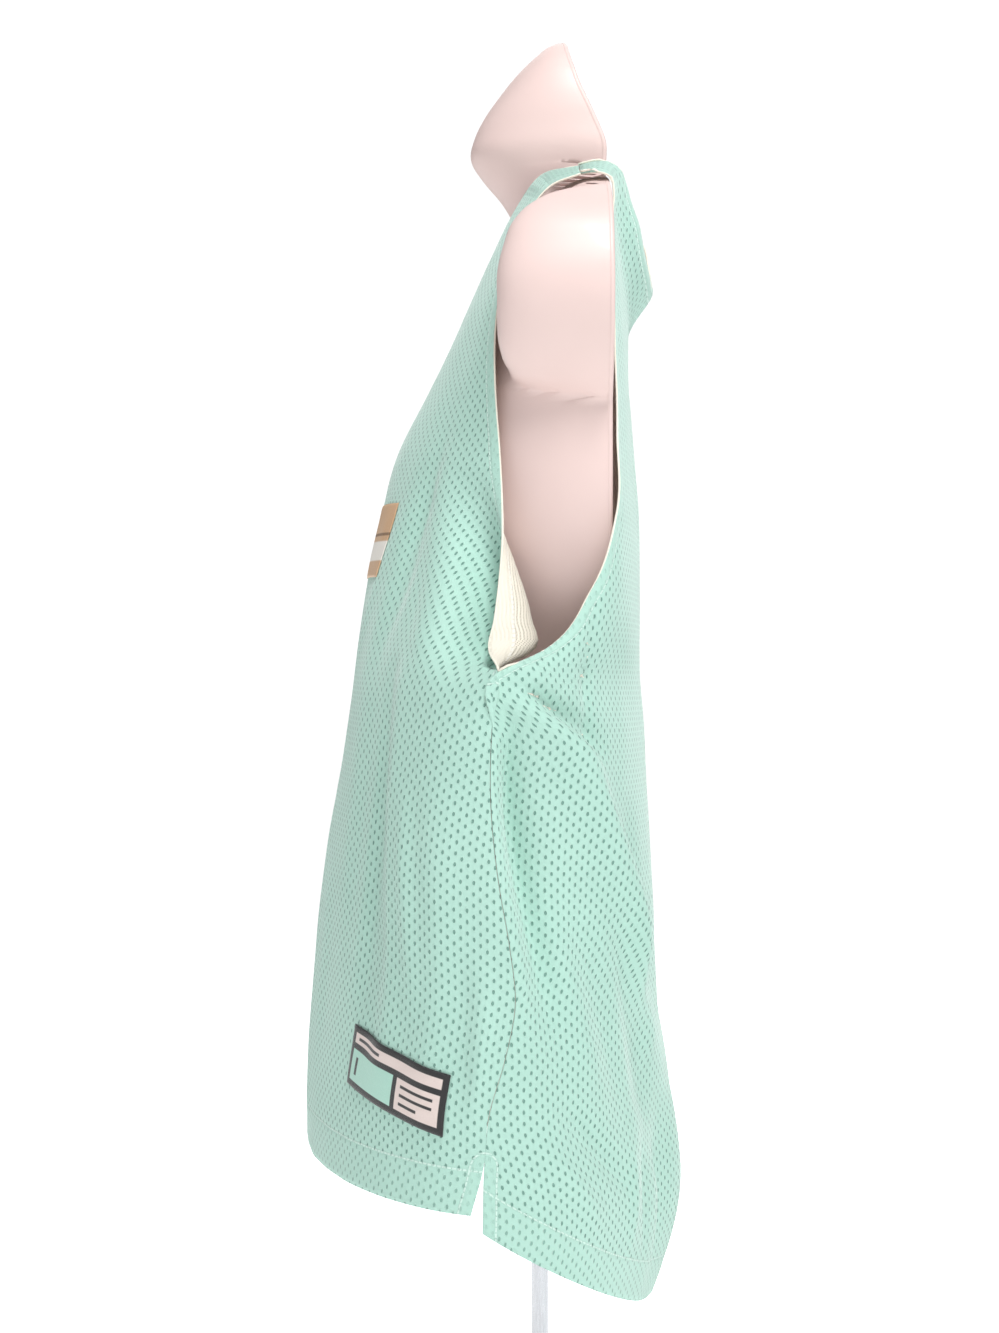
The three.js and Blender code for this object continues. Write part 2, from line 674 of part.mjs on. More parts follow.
const material = (color, roughness, metalness = 0) =>
  new THREE.MeshStandardMaterial({ color, roughness, metalness, side: THREE.FrontSide });

const FINISH = {
  mint: () => material('#bfe8d8', 0.72),
  ivory: () => material('#efe9dc', 0.8),
  print: () => material('#c8935c', 0.6),
  label: () => material('#17181a', 0.55),
  form: () => material('#eedcd7', 0.42),
  steel: () => material('#c9ccd0', 0.3, 0.9),
  base: () => material('#e9e6e2', 0.45),
};

const CHEST_PRINT = rectangle(0, 425, 168, 58, 0);
const HEM_LABEL = rectangle(225, 73, 103, 38, -8.5);

const PIECES = [
  ['front_panel', () => plyGeometry(FRONT, false), FINISH.mint],
  ['back_panel', () => plyGeometry(BACK, false), FINISH.mint],
  ['front_lining', () => plyGeometry(FRONT, true), FINISH.ivory],
  ['back_lining', () => plyGeometry(BACK, true), FINISH.ivory],
  ['chest_print', () => patchGeometry(CHEST_PRINT, PRINT_LIFT, 0.6, 10, 3), FINISH.print],
  ['hem_label', () => patchGeometry(HEM_LABEL, LABEL_LIFT, 0.9, 6, 3), FINISH.label],
  ['torso_form', formGeometry, FINISH.form],
  ['hip_plate', hipPlateGeometry, FINISH.form],
  ['hip_collar', hipCollarGeometry, FINISH.steel],
  ['pole', poleGeometry, FINISH.steel],
  ['foot_collar', footCollarGeometry, FINISH.steel],
  ['base_plate', basePlateGeometry, FINISH.base],
];

const group = new THREE.Group();
for (const [name, shape, finish] of PIECES) {
  const mesh = new THREE.Mesh(shape(), finish());
  mesh.name = name;
  group.add(mesh);
}

export default group;
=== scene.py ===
"""A lined mesh basketball jersey on its torso form: the looks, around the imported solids.

Millimetres inside the surface functions, metres in every mesh. +Z is up, +X the wearer's
left and -Y the front, with the origin on the floor under the pole.
"""

import logging
import math
from collections.abc import Sequence
from dataclasses import dataclass, field
from enum import Enum

import bpy
import numpy as np
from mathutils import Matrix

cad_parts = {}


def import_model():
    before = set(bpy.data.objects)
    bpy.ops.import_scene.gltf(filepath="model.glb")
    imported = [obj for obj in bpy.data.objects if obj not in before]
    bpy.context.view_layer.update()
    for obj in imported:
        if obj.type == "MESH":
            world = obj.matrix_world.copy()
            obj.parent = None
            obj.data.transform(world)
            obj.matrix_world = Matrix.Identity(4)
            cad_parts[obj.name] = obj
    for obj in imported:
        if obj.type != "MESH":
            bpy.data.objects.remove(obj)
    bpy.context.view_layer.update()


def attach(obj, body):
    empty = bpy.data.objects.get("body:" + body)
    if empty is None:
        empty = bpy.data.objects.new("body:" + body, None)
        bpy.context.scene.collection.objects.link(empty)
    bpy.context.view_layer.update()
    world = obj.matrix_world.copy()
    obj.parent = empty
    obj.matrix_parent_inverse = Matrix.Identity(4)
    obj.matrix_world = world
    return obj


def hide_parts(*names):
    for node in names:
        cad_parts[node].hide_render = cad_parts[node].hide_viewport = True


log = logging.getLogger("jersey")
Array = np.ndarray
MM = 0.001


# ---------------------------------------------------------------- tables and small maths

class Table:
    """Rows of numbers with named columns, read smoothly along the first column."""

    def __init__(self, names: str, rows: Sequence[Sequence[float]]) -> None:
        """Keeps each column under its name.

        Args:
            names: the columns' names, with spaces between them.
            rows: the rows, rising in their first column.
        """
        self.columns = dict(zip(names.split(), np.array(rows, float).T))
        self.key = next(iter(self.columns.values()))

    def at(self, name: str, where: Array) -> Array:
        """A column between its rows: a cubic whose slope at a row weighs its two neighbours.

        Args:
            name: the column.
            where: values of the first column.

        Returns:
            The column's values there, constant past the ends.
        """
        x, y = self.key, self.columns[name]
        gap = np.diff(x)
        secant = np.diff(y) / gap
        inner = (secant[:-1] * gap[1:] + secant[1:] * gap[:-1]) / (gap[1:] + gap[:-1])
        slope = np.concatenate([secant[:1], inner, secant[-1:]])
        at = np.clip(np.asarray(where, float), x[0], x[-1])
        i = np.clip(np.searchsorted(x, at, "right") - 1, 0, len(gap) - 1)
        h = gap[i]
        t = (at - x[i]) / h
        return (y[i] * (1 + 2 * t) * (1 - t) ** 2 + y[i + 1] * t * t * (3 - 2 * t)
                + h * slope[i] * t * (1 - t) ** 2 + h * slope[i + 1] * t * t * (t - 1))


def smoothstep(value: Array, low: float, high: float) -> Array:
    """A soft step, 0 at low and 1 at high."""
    t = np.clip((value - low) / (high - low), 0.0, 1.0)
    return t * t * (3 - 2 * t)


def unit(vectors: Array) -> Array:
    """The vectors of the last axis at length 1."""
    return vectors / np.maximum(np.linalg.norm(vectors, axis=-1, keepdims=True), 1e-9)


# ---------------------------------------------------------------- the form's surface

TORSO_ROWS = Table("z half front square", [
    [258, 165, -88, 2.3], [320, 162, -91, 2.3], [432, 147, -82, 2.3], [515, 149, -82, 2.3],
    [566, 157, -87, 2.3], [617, 169, -96, 2.2], [650, 173, -99, 2.2], [684, 174, -93, 2.3],
    [718, 171, -81, 2.6], [738, 171, -69, 2.7], [755, 172, -57, 2.8], [775, 172, -46.5, 2.9],
    [795, 172, -39, 2.9], [820, 170, -29, 2.9], [845, 165, -20, 2.9], [862, 157, -12, 2.9],
    [875, 146, -4, 2.9], [885, 132, 5, 2.9], [892, 112, 13, 3.0], [898, 83, 23, 2.8],
    [904, 66, 33, 2.6], [912, 64, 42, 2.4], [930, 62, 42, 2.4],
])
# The short stumps of the arms: outermost x and foremost y of each level.
STUMP_ROWS = Table("z half front", [
    [734, 171, 43], [738, 174, 14], [745, 180, -13], [756, 188, -24], [770, 196, -29.5],
    [786, 202.5, -31], [801, 206, -31], [816, 205, -31], [835, 198, -27], [853, 187, -20],
    [866, 172, -8], [875, 157, 8], [880, 147, 26], [883, 140, 43],
])
NECK_ROWS = Table("z half front back", [
    [840, 96, 0, 43], [866, 70, -16, 43], [883, 62, -20, 43], [898, 60, -29, 43],
    [912, 61, -41, 43.5], [927, 62, -50, 43.5], [941, 60, -47.5, 38.5], [956, 58, -40, 32],
    [970, 54, -30, 26], [985, 46, -18, 21.5], [998, 33, -5, 18.5], [1006, 19, 4, 17.5],
    [1010, 7, 10, 17],
])
FORM_BACK = 43.0
NECK_FROM = 912.0
STUMP_INNER = 139.0


def rounded_depth(x: Array, half: Array, front: Array, back: Array, square: Array) -> Array:
    """Depth of a superellipse section at x: back less (back - front) (1 - |x/half|^n)^(1/n)."""
    t = np.minimum(np.abs(x) / half, 1.0)
    return back - (back - front) * (1 - t ** square) ** (1 / square)


def form_back(z: Array) -> Array:
    """Depth of the form's open back at height z."""
    return np.where(z < NECK_FROM, FORM_BACK, NECK_ROWS.at("back", z))


def form_half(z: Array) -> Array:
    """Half width of the form at height z."""
    torso = np.where(z < NECK_FROM, TORSO_ROWS.at("half", z), NECK_ROWS.at("half", z))
    return np.where(is_stump(z), np.maximum(torso, STUMP_ROWS.at("half", z)), torso)


def is_stump(z: Array) -> Array:
    """Whether the arms' stumps reach height z."""
    return (z > STUMP_ROWS.key[0]) & (z < STUMP_ROWS.key[-1])


def joined(a: Array, b: Array, back: Array, most: float) -> Array:
    """The nearer of two depths, run into each other over a rounding of at most `most`."""
    blend = np.clip(0.5 * (back - np.maximum(a, b)), 1e-6, most)
    near = np.maximum(blend - np.abs(a - b), 0.0) / blend
    return np.minimum(a, b) - near * near * blend / 4


def form_front(x: Array, z: Array) -> Array:
    """Depth of the form's outer face: the torso's, the neck's and the stumps' sections, run
    into each other.

    Args:
        x: places across.
        z: heights.

    Returns:
        y at those places.
    """
    back = form_back(z)
    torso = np.where(z < NECK_FROM, rounded_depth(
        x, TORSO_ROWS.at("half", z), TORSO_ROWS.at("front", z), back,
        TORSO_ROWS.at("square", z)), back)
    neck = np.where(z > NECK_ROWS.key[0], rounded_depth(
        x, NECK_ROWS.at("half", z), NECK_ROWS.at("front", z), back, 2.2), back)
    radius = np.maximum(STUMP_ROWS.at("half", z) - STUMP_INNER, 0.5) / 2
    stump = np.where(is_stump(z), rounded_depth(
        np.abs(x) - STUMP_INNER - radius, radius, STUMP_ROWS.at("front", z), back, 2.6), back)
    return joined(joined(torso, neck, back, 14.0), stump, back, 8.0)


def form_top(x: Array, y: Array) -> Array:
    """Height of the form's shoulder over each (x, y), found by halving."""
    low, high = np.full_like(x, 795.0), np.full_like(x, 1010.0)
    for _ in range(22):
        z = (low + high) / 2
        inside = (np.abs(x) < form_half(z)) & (form_front(x, z) < y)
        low, high = np.where(inside, z, low), np.where(inside, high, z)
    return low


def clear_of_form(points: Array, room: float) -> Array:
    """Moves places of the cloth clear of the form by the shortest of three ways: forward,
    back, or up over the shoulder.

    Args:
        points: places, with x, y, z last.
        room: how far the cloth's outer face stays off the form.

    Returns:
        The moved places.
    """
    x, y, z = points[..., 0], points[..., 1], points[..., 2]
    forward = y - (form_front(x, z) - room)
    backward = form_back(z) + room - y
    inside = (np.abs(x) <= form_half(z)) & (backward >= 0) & (forward > 0)
    moved = points.copy()
    if not inside.any():
        return moved
    x, y, z = x[inside], y[inside], z[inside]
    upward = np.where(z > 780, form_top(x, y) + room - z, 1e9)
    ways = np.stack([forward[inside], backward[inside], upward])
    best = ways.argmin(0)
    moved[inside, 1] = y + np.where(best == 0, -ways[0], np.where(best == 1, ways[1], 0.0))
    moved[inside, 2] = z + np.where(best == 2, ways[2], 0.0)
    return moved


# ---------------------------------------------------------------- the jersey's surface

class Panel(Enum):
    """The two panels of the jersey, by the way they face along y."""

    FRONT = -1
    BACK = 1


SECTION = "height mid_y mid_z edge_x edge_y edge_z turn"

ROWS = {
    Panel.FRONT: Table(SECTION, [
        [0, -167, 229, 252, -47, 219, 90], [30, -166.5, 259, 251, -39, 249, 90],
        [60, -164.5, 289, 251, -36, 280, 90], [95, -161, 324, 251, -26, 315, 90],
        [130, -158, 359, 250, -19.5, 350, 90], [165, -154.5, 394, 250, -23, 385, 90],
        [205, -150, 434, 250, -30, 426, 90], [260, -142.5, 488, 250, -35, 481, 90],
        [300, -137, 528, 249, -34, 520, 90], [337, -132, 564, 243, -30, 557, 88],
        [352, -130, 579, 229, -36, 569, 83], [375, -127, 602, 213, -33, 589, 76],
        [400, -123, 627, 198, -30, 613, 68], [440, -116, 662, 181, -28, 651, 60],
        [495, -103, 712, 165, -30, 703, 52], [545, -81, 755, 157, -33, 751, 46],
        [610, -55, 810, 146, -29, 812, 34], [649, -39, 846, 137, -19, 847, 22],
        [676, -22.5, 882, 133, -9, 867, 15], [702, -3, 910, 131, 5, 883.5, 12],
        [727, 25, 915.5, 130, 25, 891.5, 10],
    ]),
    Panel.BACK: Table(SECTION, [
        [-95, 80, 122, 253, -43, 120, 90], [-60, 89, 156, 253, -42, 158, 90],
        [-11, 94, 204, 252, -40, 208, 90], [30, 92, 246, 251, -39, 249, 90],
        [60, 89, 276, 251, -36, 280, 90], [95, 85, 311, 251, -26, 315, 90],
        [130, 82, 346, 250, -19.5, 350, 90], [165, 81, 381, 250, -23, 385, 90],
        [205, 79.5, 421, 250, -30, 426, 90], [260, 76.5, 476, 250, -35, 481, 90],
        [300, 74.5, 516, 249, -34, 520, 90], [337, 72, 553, 243, -30, 557, 88],
        [352, 71.5, 568, 222, -2, 570, 90], [390, 70, 606, 203, 30, 609, 88],
        [440, 68, 656, 182, 47.5, 659, 60], [495, 65.5, 711, 169, 48.5, 713, 24],
        [545, 63, 761, 158, 48, 763, 20], [590, 61.5, 806, 148, 47.5, 807, 16],
        [640, 56, 856, 138, 47, 855, 12], [662, 52.4, 885.7, 134.5, 47.5, 868, 12],
        [671, 53, 900, 133.5, 48, 878, 12], [678, 52, 911, 132.5, 46.5, 888, 12],
        [683, 47.5, 917.5, 132, 42, 891, 12], [692, 36, 919, 131, 34, 892.5, 11],
        [702, 25, 915.5, 130, 25, 891.5, 10],
    ]),
}

# Large folds, as the solids have them, and then the finer creases: from and to (across,
# height), depth and width.
FOLDS = {
    Panel.FRONT: np.array([
        [205, 100, 196, 330, -9, 17], [150, 150, 160, 360, -6, 20], [262, 60, 255, 250, 5, 16],
        [118, 470, 138, 340, -7, 15], [60, 40, 48, 240, 4, 26], [-60, 30, -78, 300, -6, 24],
        [-150, 60, -138, 330, 6, 22], [-205, 90, -200, 320, -8, 18],
        [-125, 480, -146, 350, -6, 15], [-262, 50, -250, 240, 5, 16],
    ], float),
    Panel.BACK: np.array([
        [262, 325, 120, 100, 10, 22], [258, 230, 180, 60, -9, 20], [60, 60, 62, -70, 7, 22],
        [100, 40, 112, -60, -7, 16], [-30, 110, -22, -80, 5, 26], [-240, 300, -130, 120, 8, 24],
        [-250, 200, -190, 50, -8, 20], [-110, 50, -118, -70, -6, 18],
    ], float),
}
CREASES = {
    Panel.FRONT: np.array([
        [300, 60, 288, 150, 5.1, 8], [240, 120, 226, 250, 5.1, 9], [180, 120, 176, 330, -8, 12],
        [214, 90, 200, 330, 8, 14],
        [120, 420, 128, 500, -2.7, 8], [90, 60, 84, 190, 2.4, 12], [20, 70, 12, 230, -2.7, 16],
        [-90, 60, -84, 220, 2.7, 13], [-180, 220, -170, 340, -3.1, 10],
        [-120, 420, -126, 500, -2.5, 8], [-240, 110, -228, 240, 2.5, 10],
        [60, 330, 96, 440, 2, 12], [-60, 330, -96, 440, 2, 12],
    ], float),
    Panel.BACK: np.array([
        [288, 300, 252, 90, -14, 19], [284, 332, 196, 292, -9, 10], [150, 230, 128, 20, -10, 20],
        [262, 325, 124, 96, 13, 15], [290, 318, 262, 130, -8.2, 13], [205, 250, 150, 60, -6, 14],
        [268, 330, 228, 300, -5.4, 6], [262, 312, 196, 262, 3.7, 8], [212, 400, 205, 250, -2.7, 5],
        [250, 60, 190, 12, -5.7, 9], [268, 40, 224, -6, 5.1, 8], [150, 28, 152, -42, -3.4, 6],
        [172, 22, 176, -30, 3.1, 7], [128, 20, 126, -52, 2.7, 7], [90, 250, 84, 60, 2.4, 14],
        [-268, 330, -220, 296, -4.4, 7], [-210, 390, -204, 250, -2.5, 6],
        [-250, 60, -196, 14, -3.7, 9], [-150, 26, -152, -40, -3.1, 7], [-60, 240, -52, 20, 2.7, 15],
        [10, 420, 2, 160, -2.4, 18], [60, 520, 44, 380, 2.2, 14], [-70, 520, -52, 380, 2.2, 14],
    ], float),
}

FLARE_PATH = Table("start inn back share", [
    [0, 0, 0, 1], [8, 6, 12, 1], [15, 15, 22, 1], [21, 25, 25, 1], [28, 33, 16, 1],
    [35, 34, 2, 1], [44, 27, -13, 0.85], [56, 15, -30, 0.5], [72, 5, -52, 0],
])
FLARE_REACH = Table("height left right", [
    [312, 0, 0], [337, 0.3, 0.2], [350, 1.0, 0.65], [375, 0.95, 0.6], [410, 0.62, 0.4],
    [450, 0.2, 0.2], [480, 0, 0],
])


@dataclass(frozen=True)
class JerseyCut:
    """The jersey's driving sizes, in millimetres of cloth."""

    ply: float = 0.7
    ply_gap: float = 0.25
    lining: float = 0.6
    room: float = 3.9
    hem_depth: float = 27.0
    vent_hem: float = 9.0
    turned_extra: float = 0.4
    seam_gap: float = 0.3
    underarm: float = 337.0
    vent_top: float = 30.0
    front_top: float = 727.0
    back_top: float = 702.0
    front_neck_drop: float = 142.0
    back_neck_drop: float = 90.0
    neck_share: float = 0.58
    back_side_hem: float = -11.0
    tail_drop: float = 84.0
    tail_round: float = 2.2
    slouch_middle: float = 22.0
    slouch_lean: float = 8.0
    slouch_reach: float = 20.0
    slouch_lift: float = 0.3

    def top(self, panel: Panel) -> float:
        """Pattern height of a panel's shoulder seam."""
        return self.front_top if panel is Panel.FRONT else self.back_top

    def neck_drop(self, panel: Panel) -> float:
        """How far a panel's neckline falls below its shoulder seam."""
        return self.front_neck_drop if panel is Panel.FRONT else self.back_neck_drop

    def hem(self, panel: Panel, share: Array) -> Array:
        """Height of the hem: level in front; behind, a tail that falls by 1 - |share|^n."""
        if panel is Panel.FRONT:
            return np.zeros_like(share)
        return self.back_side_hem - self.tail_drop * (1 - np.abs(share) ** self.tail_round)

    def panel_top(self, panel: Panel, share: Array) -> Array:
        """Height where a panel ends: the shoulder seam, less half an ellipse for the neck."""
        t = np.clip(np.abs(share) / self.neck_share, 0.0, 1.0)
        return self.top(panel) - self.neck_drop(panel) * np.sqrt(1 - t * t)


class PanelSurface:
    """A panel's outer face as a function of a share across (-1..1) and a height of cloth."""

    MARKS = np.linspace(0.0, 1.0, 49)

    def __init__(self, panel: Panel, cut: JerseyCut) -> None:
        """Keeps the panel and the jersey's sizes."""
        self.panel, self.cut, self.rows = panel, cut, ROWS[panel]
        self.folds = np.concatenate([FOLDS[panel], CREASES[panel]])

    def arcs(self, height: Array) -> tuple[dict[str, Array], Array, Array]:
        """Each height's section, sampled from its middle to its edge.

        The section turns by its `turn`: x runs as its sine and y as one less its cosine,
        while z falls to the edge as the square.

        Returns:
            The section's numbers, its sampled places, and the arc length up to each.
        """
        row = {name: self.rows.at(name, height)[:, None] for name in SECTION.split()[1:]}
        turn = np.radians(row["turn"])
        t = self.MARKS[None]
        places = np.stack([
            row["edge_x"] * np.sin(turn * t) / np.sin(turn),
            row["mid_y"] + (row["edge_y"] - row["mid_y"]) * (1 - np.cos(turn * t))
            / (1 - np.cos(turn)),
            row["mid_z"] + (row["edge_z"] - row["mid_z"]) * t * t,
        ], axis=-1)
        lengths = np.linalg.norm(np.diff(places, axis=1), axis=2).cumsum(1)
        return row, places, np.concatenate([np.zeros((len(height), 1)), lengths], 1)

    def half_width(self, height: Array) -> Array:
        """Arc length from the middle to the edge at each height."""
        return self.arcs(np.ravel(height))[2][:, -1].reshape(np.shape(height))

    @staticmethod
    def walked(places: Array, lengths: Array, share: Array) -> Array:
        """The place at a share of each section's arc length, on the side of its sign."""
        length = np.minimum(np.abs(share), 1.0) * lengths[:, -1]
        i = np.clip((lengths[:, 1:-1] < length[:, None]).sum(1), 0, lengths.shape[1] - 2)
        n = np.arange(len(share))
        t = (length - lengths[n, i]) / (lengths[n, i + 1] - lengths[n, i])
        point = places[n, i] * (1 - t[:, None]) + places[n, i + 1] * t[:, None]
        point[:, 0] *= np.where(share < 0, -1.0, 1.0)
        return point

    def fold_depth(self, across: Array, height: Array) -> Array:
        """Sum of the folds: each a bell across its line, faded towards its two ends."""
        a0, h0, a1, h1, depth, width = self.folds.T[:, :, None]
        da, dh = a1 - a0, h1 - h0
        along = np.clip(((across - a0) * da + (height - h0) * dh) / (da * da + dh * dh), 0, 1)
        gap = np.hypot(across - a0 - along * da, height - h0 - along * dh)
        ends = np.sin(np.pi * np.clip(0.12 + 0.76 * along, 0, 1))
        return (depth * ends * np.exp(-(gap / width) ** 2)).sum(0)

    def rumple(self, across: Array, height: Array) -> Array:
        """Small unevenness of limp cloth: a few crossed sines of unlike lengths."""
        a, h, side = across / 41.0, height / 57.0, float(self.panel.value)
        return 0.42 * (np.sin(2.1 * a + 0.7 * h + 1.3 * side) * np.sin(1.7 * h - 0.9 * a + 0.4)
                       + 0.6 * np.sin(4.3 * a - 2.2 * h + side) * np.sin(3.1 * h + 1.9 * a))

    def flare(self, share: Array, height: Array, inside: Array, row: dict[str, Array],
              point: Array) -> Array:
        """How the lower front armhole edge rolls out, as a move of each place."""
        side = np.where(share < 0, FLARE_REACH.at("right", height), FLARE_REACH.at("left", height))
        amount = side * FLARE_PATH.at("share", inside)
        sign = np.where(share < 0, -1.0, 1.0)
        target = np.stack([
            sign * (row["edge_x"][:, 0] - FLARE_PATH.at("inn", inside)),
            row["edge_y"][:, 0] + FLARE_PATH.at("back", inside), point[:, 2]], axis=-1)
        return (target - point) * amount[:, None]

    def slouch(self, share: Array, height: Array) -> Array:
        """How far the back neckline stands off: a bell past the neck's ellipse."""
        c = self.cut
        round_ = np.hypot(share / c.neck_share, (c.back_top - height) / c.back_neck_drop)
        past = np.maximum(round_ - 1, 0) * c.back_neck_drop / c.slouch_reach
        lean = c.slouch_middle - c.slouch_lean * np.clip(share / c.neck_share, -1, 1)
        return lean * np.exp(-past * past) * smoothstep(c.back_top - height, 4, 58)

    def laid_out(self, share: Array, height: Array) -> Array:
        """How far across each place lies on the cloth laid flat, measured along the surface."""
        levels = np.linspace(float(self.cut.hem(self.panel, np.array(0.0))),
                             self.cut.top(self.panel), 110)
        marks = np.linspace(-1, 1, 281)
        places = self.place(*np.meshgrid(marks, levels))
        run = np.linalg.norm(np.diff(places, axis=1), axis=2).cumsum(1)
        run = np.concatenate([np.zeros((len(levels), 1)), run], 1)
        run -= run[:, [len(marks) // 2]]
        u = (np.clip(share, -1, 1) + 1) / 2 * (len(marks) - 1)
        v = np.clip((height - levels[0]) / (levels[-1] - levels[0]), 0, 1) * (len(levels) - 1)
        i = np.minimum(u.astype(int), len(marks) - 2)
        j = np.minimum(v.astype(int), len(levels) - 2)
        u, v = u - i, v - j
        low = run[j, i] * (1 - u) + run[j, i + 1] * u
        high = run[j + 1, i] * (1 - u) + run[j + 1, i + 1] * u
        return low * (1 - v) + high * v

    def place(self, share: Array, height: Array) -> Array:
        """The outer face at each share and height.

        Args:
            share: shares across, any shape.
            height: heights of cloth, the same shape.

        Returns:
            Places in millimetres, with x, y, z last.
        """
        shape = np.shape(share)
        share, height = np.ravel(share).astype(float), np.ravel(height).astype(float)
        row, places, lengths = self.arcs(height)
        base = self.walked(places, lengths, share)
        along = (self.walked(places, lengths, np.minimum(share + 0.004, 1))
                 - self.walked(places, lengths, np.maximum(share - 0.004, -1)))
        out = unit(np.stack([along[:, 1], -along[:, 0], 0 * share], -1)) * -self.panel.value
        inside = (1 - np.abs(share)) * lengths[:, -1]
        held = np.where(height < self.cut.underarm, smoothstep(inside, 0, 14), 1.0)
        across = share * lengths[:, -1]
        depth = (self.fold_depth(across, height) + self.rumple(across, height)) * held
        point = base + out * depth[:, None]
        if self.panel is Panel.FRONT:
            point += self.flare(share, height, inside, row, base)
        else:
            slouch = self.slouch(share, height)
            point[:, 1] += slouch
            point[:, 2] += self.cut.slouch_lift * slouch
        return clear_of_form(point, self.cut.room).reshape(*shape, 3)


@dataclass(frozen=True)
class PanelGrid:
    """A panel sampled on a grid, with what its pieces and its cloth need to know."""

    points: Array
    outs: Array
    across: Array
    height: Array
    trim: Array
    turned: Array


def grid_normals(points: Array, soften: int = 0) -> Array:
    """Outward directions of a grid: rows run up, columns to the right; evened `soften` times."""
    out = unit(np.cross(np.gradient(points, axis=1), np.gradient(points, axis=0)))
    for _ in range(soften):
        padded = np.pad(out, ((1, 1), (1, 1), (0, 0)), "edge")
        out = unit(2 * out + padded[:-2, 1:-1] + padded[2:, 1:-1] + padded[1:-1, :-2]
                   + padded[1:-1, 2:])
    return out


class PanelSampler:
    """Lays a grid of rows and columns over a panel."""

    def __init__(self, surface: PanelSurface, neck_steps: int, side_steps: int, rows: int) -> None:
        """Keeps the surface and the counts of rows and columns."""
        self.surface, self.cut = surface, surface.cut
        self.neck_steps, self.side_steps, self.rows = neck_steps, side_steps, rows

    def shares(self) -> Array:
        """Columns: as the sine of an angle under the neck, then closing up to the edge."""
        neck = self.cut.neck_share * np.sin(np.linspace(-np.pi / 2, np.pi / 2, self.neck_steps + 1))
        t = np.linspace(0, 1, self.side_steps + 1)[1:]
        side = self.cut.neck_share + (1 - self.cut.neck_share) * (1 - (1 - t) ** 1.3)
        return np.concatenate([-side[::-1], neck, side])

    def levels(self, panel: Panel) -> Array:
        """Rows as shares of the panel's height, with one on the vent's top and underarm."""
        hem = float(self.cut.hem(panel, np.array(1.0)))
        span = self.cut.top(panel) - hem
        marks = np.array([hem, self.cut.vent_top, self.cut.underarm, self.cut.top(panel)])
        counts = np.maximum(np.round(np.diff(marks) / span * self.rows), 3).astype(int)
        parts = [np.linspace(a, b, n + 1)[:-1] for a, b, n in zip(marks[:-1], marks[1:], counts)]
        return (np.concatenate([*parts, marks[-1:]]) - hem) / span

    def grid(self) -> PanelGrid:
        """The panel's outer face, with each place's distance to the nearest finished edge."""
        panel, cut = self.surface.panel, self.cut
        columns = self.shares() * -panel.value
        share, level = np.meshgrid(columns, self.levels(panel))
        hem = cut.hem(panel, share)
        height = hem + level * (cut.panel_top(panel, share) - hem)
        points = self.surface.place(share, height)
        half = self.surface.half_width(height)
        outs = grid_normals(points, 3)
        seam = np.abs(share) > 0.9999
        sewn = seam & (height < cut.underarm + 1)
        outs[sewn] = unit(np.stack([np.sign(share), 0 * share, 0 * share], -1))[sewn]
        points[..., 1] += np.where(sewn, panel.value * cut.seam_gap / 2, 0.0)
        side = (1 - np.abs(share)) * half
        hem_gap = height - hem
        vent_gap = np.where(height < cut.vent_top, side, np.hypot(side, height - cut.vent_top))
        arm_gap = np.where(height > cut.underarm, side, np.hypot(side, cut.underarm - height))
        t = np.hypot(share / cut.neck_share, (cut.top(panel) - height) / cut.neck_drop(panel))
        neck_gap = np.maximum(t - 1, 0) * min(cut.neck_drop(panel), 90.0)
        trim = np.minimum.reduce([vent_gap, arm_gap, neck_gap])
        turned = np.where(hem_gap < cut.hem_depth, cut.turned_extra, 0.0)
        turned = np.where((height < cut.vent_top) & (side < cut.vent_hem), cut.turned_extra, turned)
        return PanelGrid(points, outs, self.surface.laid_out(share, height), height,
                         np.stack([hem_gap, trim], -1), turned)


# ---------------------------------------------------------------- meshes from arrays

def new_mesh(name: str, points: Array, faces: Array, smooth_angle: float = 180.0
             ) -> bpy.types.Object:
    """A mesh object from places in millimetres.

    Args:
        name: the piece's name.
        points: places, one to a row.
        faces: corners of each face, one face to a row, seen from outside.
        smooth_angle: edges that bend more than this stay sharp, in degrees.

    Returns:
        The object, linked to the scene, at the origin.
    """
    mesh = bpy.data.meshes.new(name)
    mesh.from_pydata((points * MM).tolist(), [], faces.tolist())
    mesh.update()
    mesh.shade_smooth()
    if smooth_angle < 180:
        mesh.set_sharp_from_angle(angle=math.radians(smooth_angle))
    piece = bpy.data.objects.new(name, mesh)
    bpy.context.scene.collection.objects.link(piece)
    return piece


def grid_faces(rows: int, columns: int, offset: int = 0, flip: bool = False) -> Array:
    """Quads between the neighbours of a grid of places, numbered row by row."""
    j, i = np.meshgrid(np.arange(rows - 1), np.arange(columns - 1), indexing="ij")
    a = (j * columns + i).ravel() + offset
    quads = np.stack([a, a + 1, a + columns + 1, a + columns], -1)
    return quads[:, ::-1] if flip else quads


def wall_faces(rows: int, columns: int) -> Array:
    """Quads of a closed wall between two grids: both faces, and a strip along each edge."""
    back = rows * columns
    index = np.arange(back).reshape(rows, columns)
    ring = np.concatenate([index[0], index[1:, -1], index[-1, -2::-1], index[-2:0:-1, 0]])
    after = np.roll(ring, -1)
    edge = np.stack([ring, ring + back, after + back, after], -1)
    return np.concatenate([grid_faces(rows, columns), grid_faces(rows, columns, back, True), edge])


def wall_piece(name: str, outer: Array, inner: Array, smooth_angle: float = 180.0
               ) -> bpy.types.Object:
    """A closed wall between an outer and an inner grid of places."""
    rows, columns = outer.shape[:2]
    points = np.concatenate([outer.reshape(-1, 3), inner.reshape(-1, 3)])
    return new_mesh(name, points, wall_faces(rows, columns), smooth_angle)


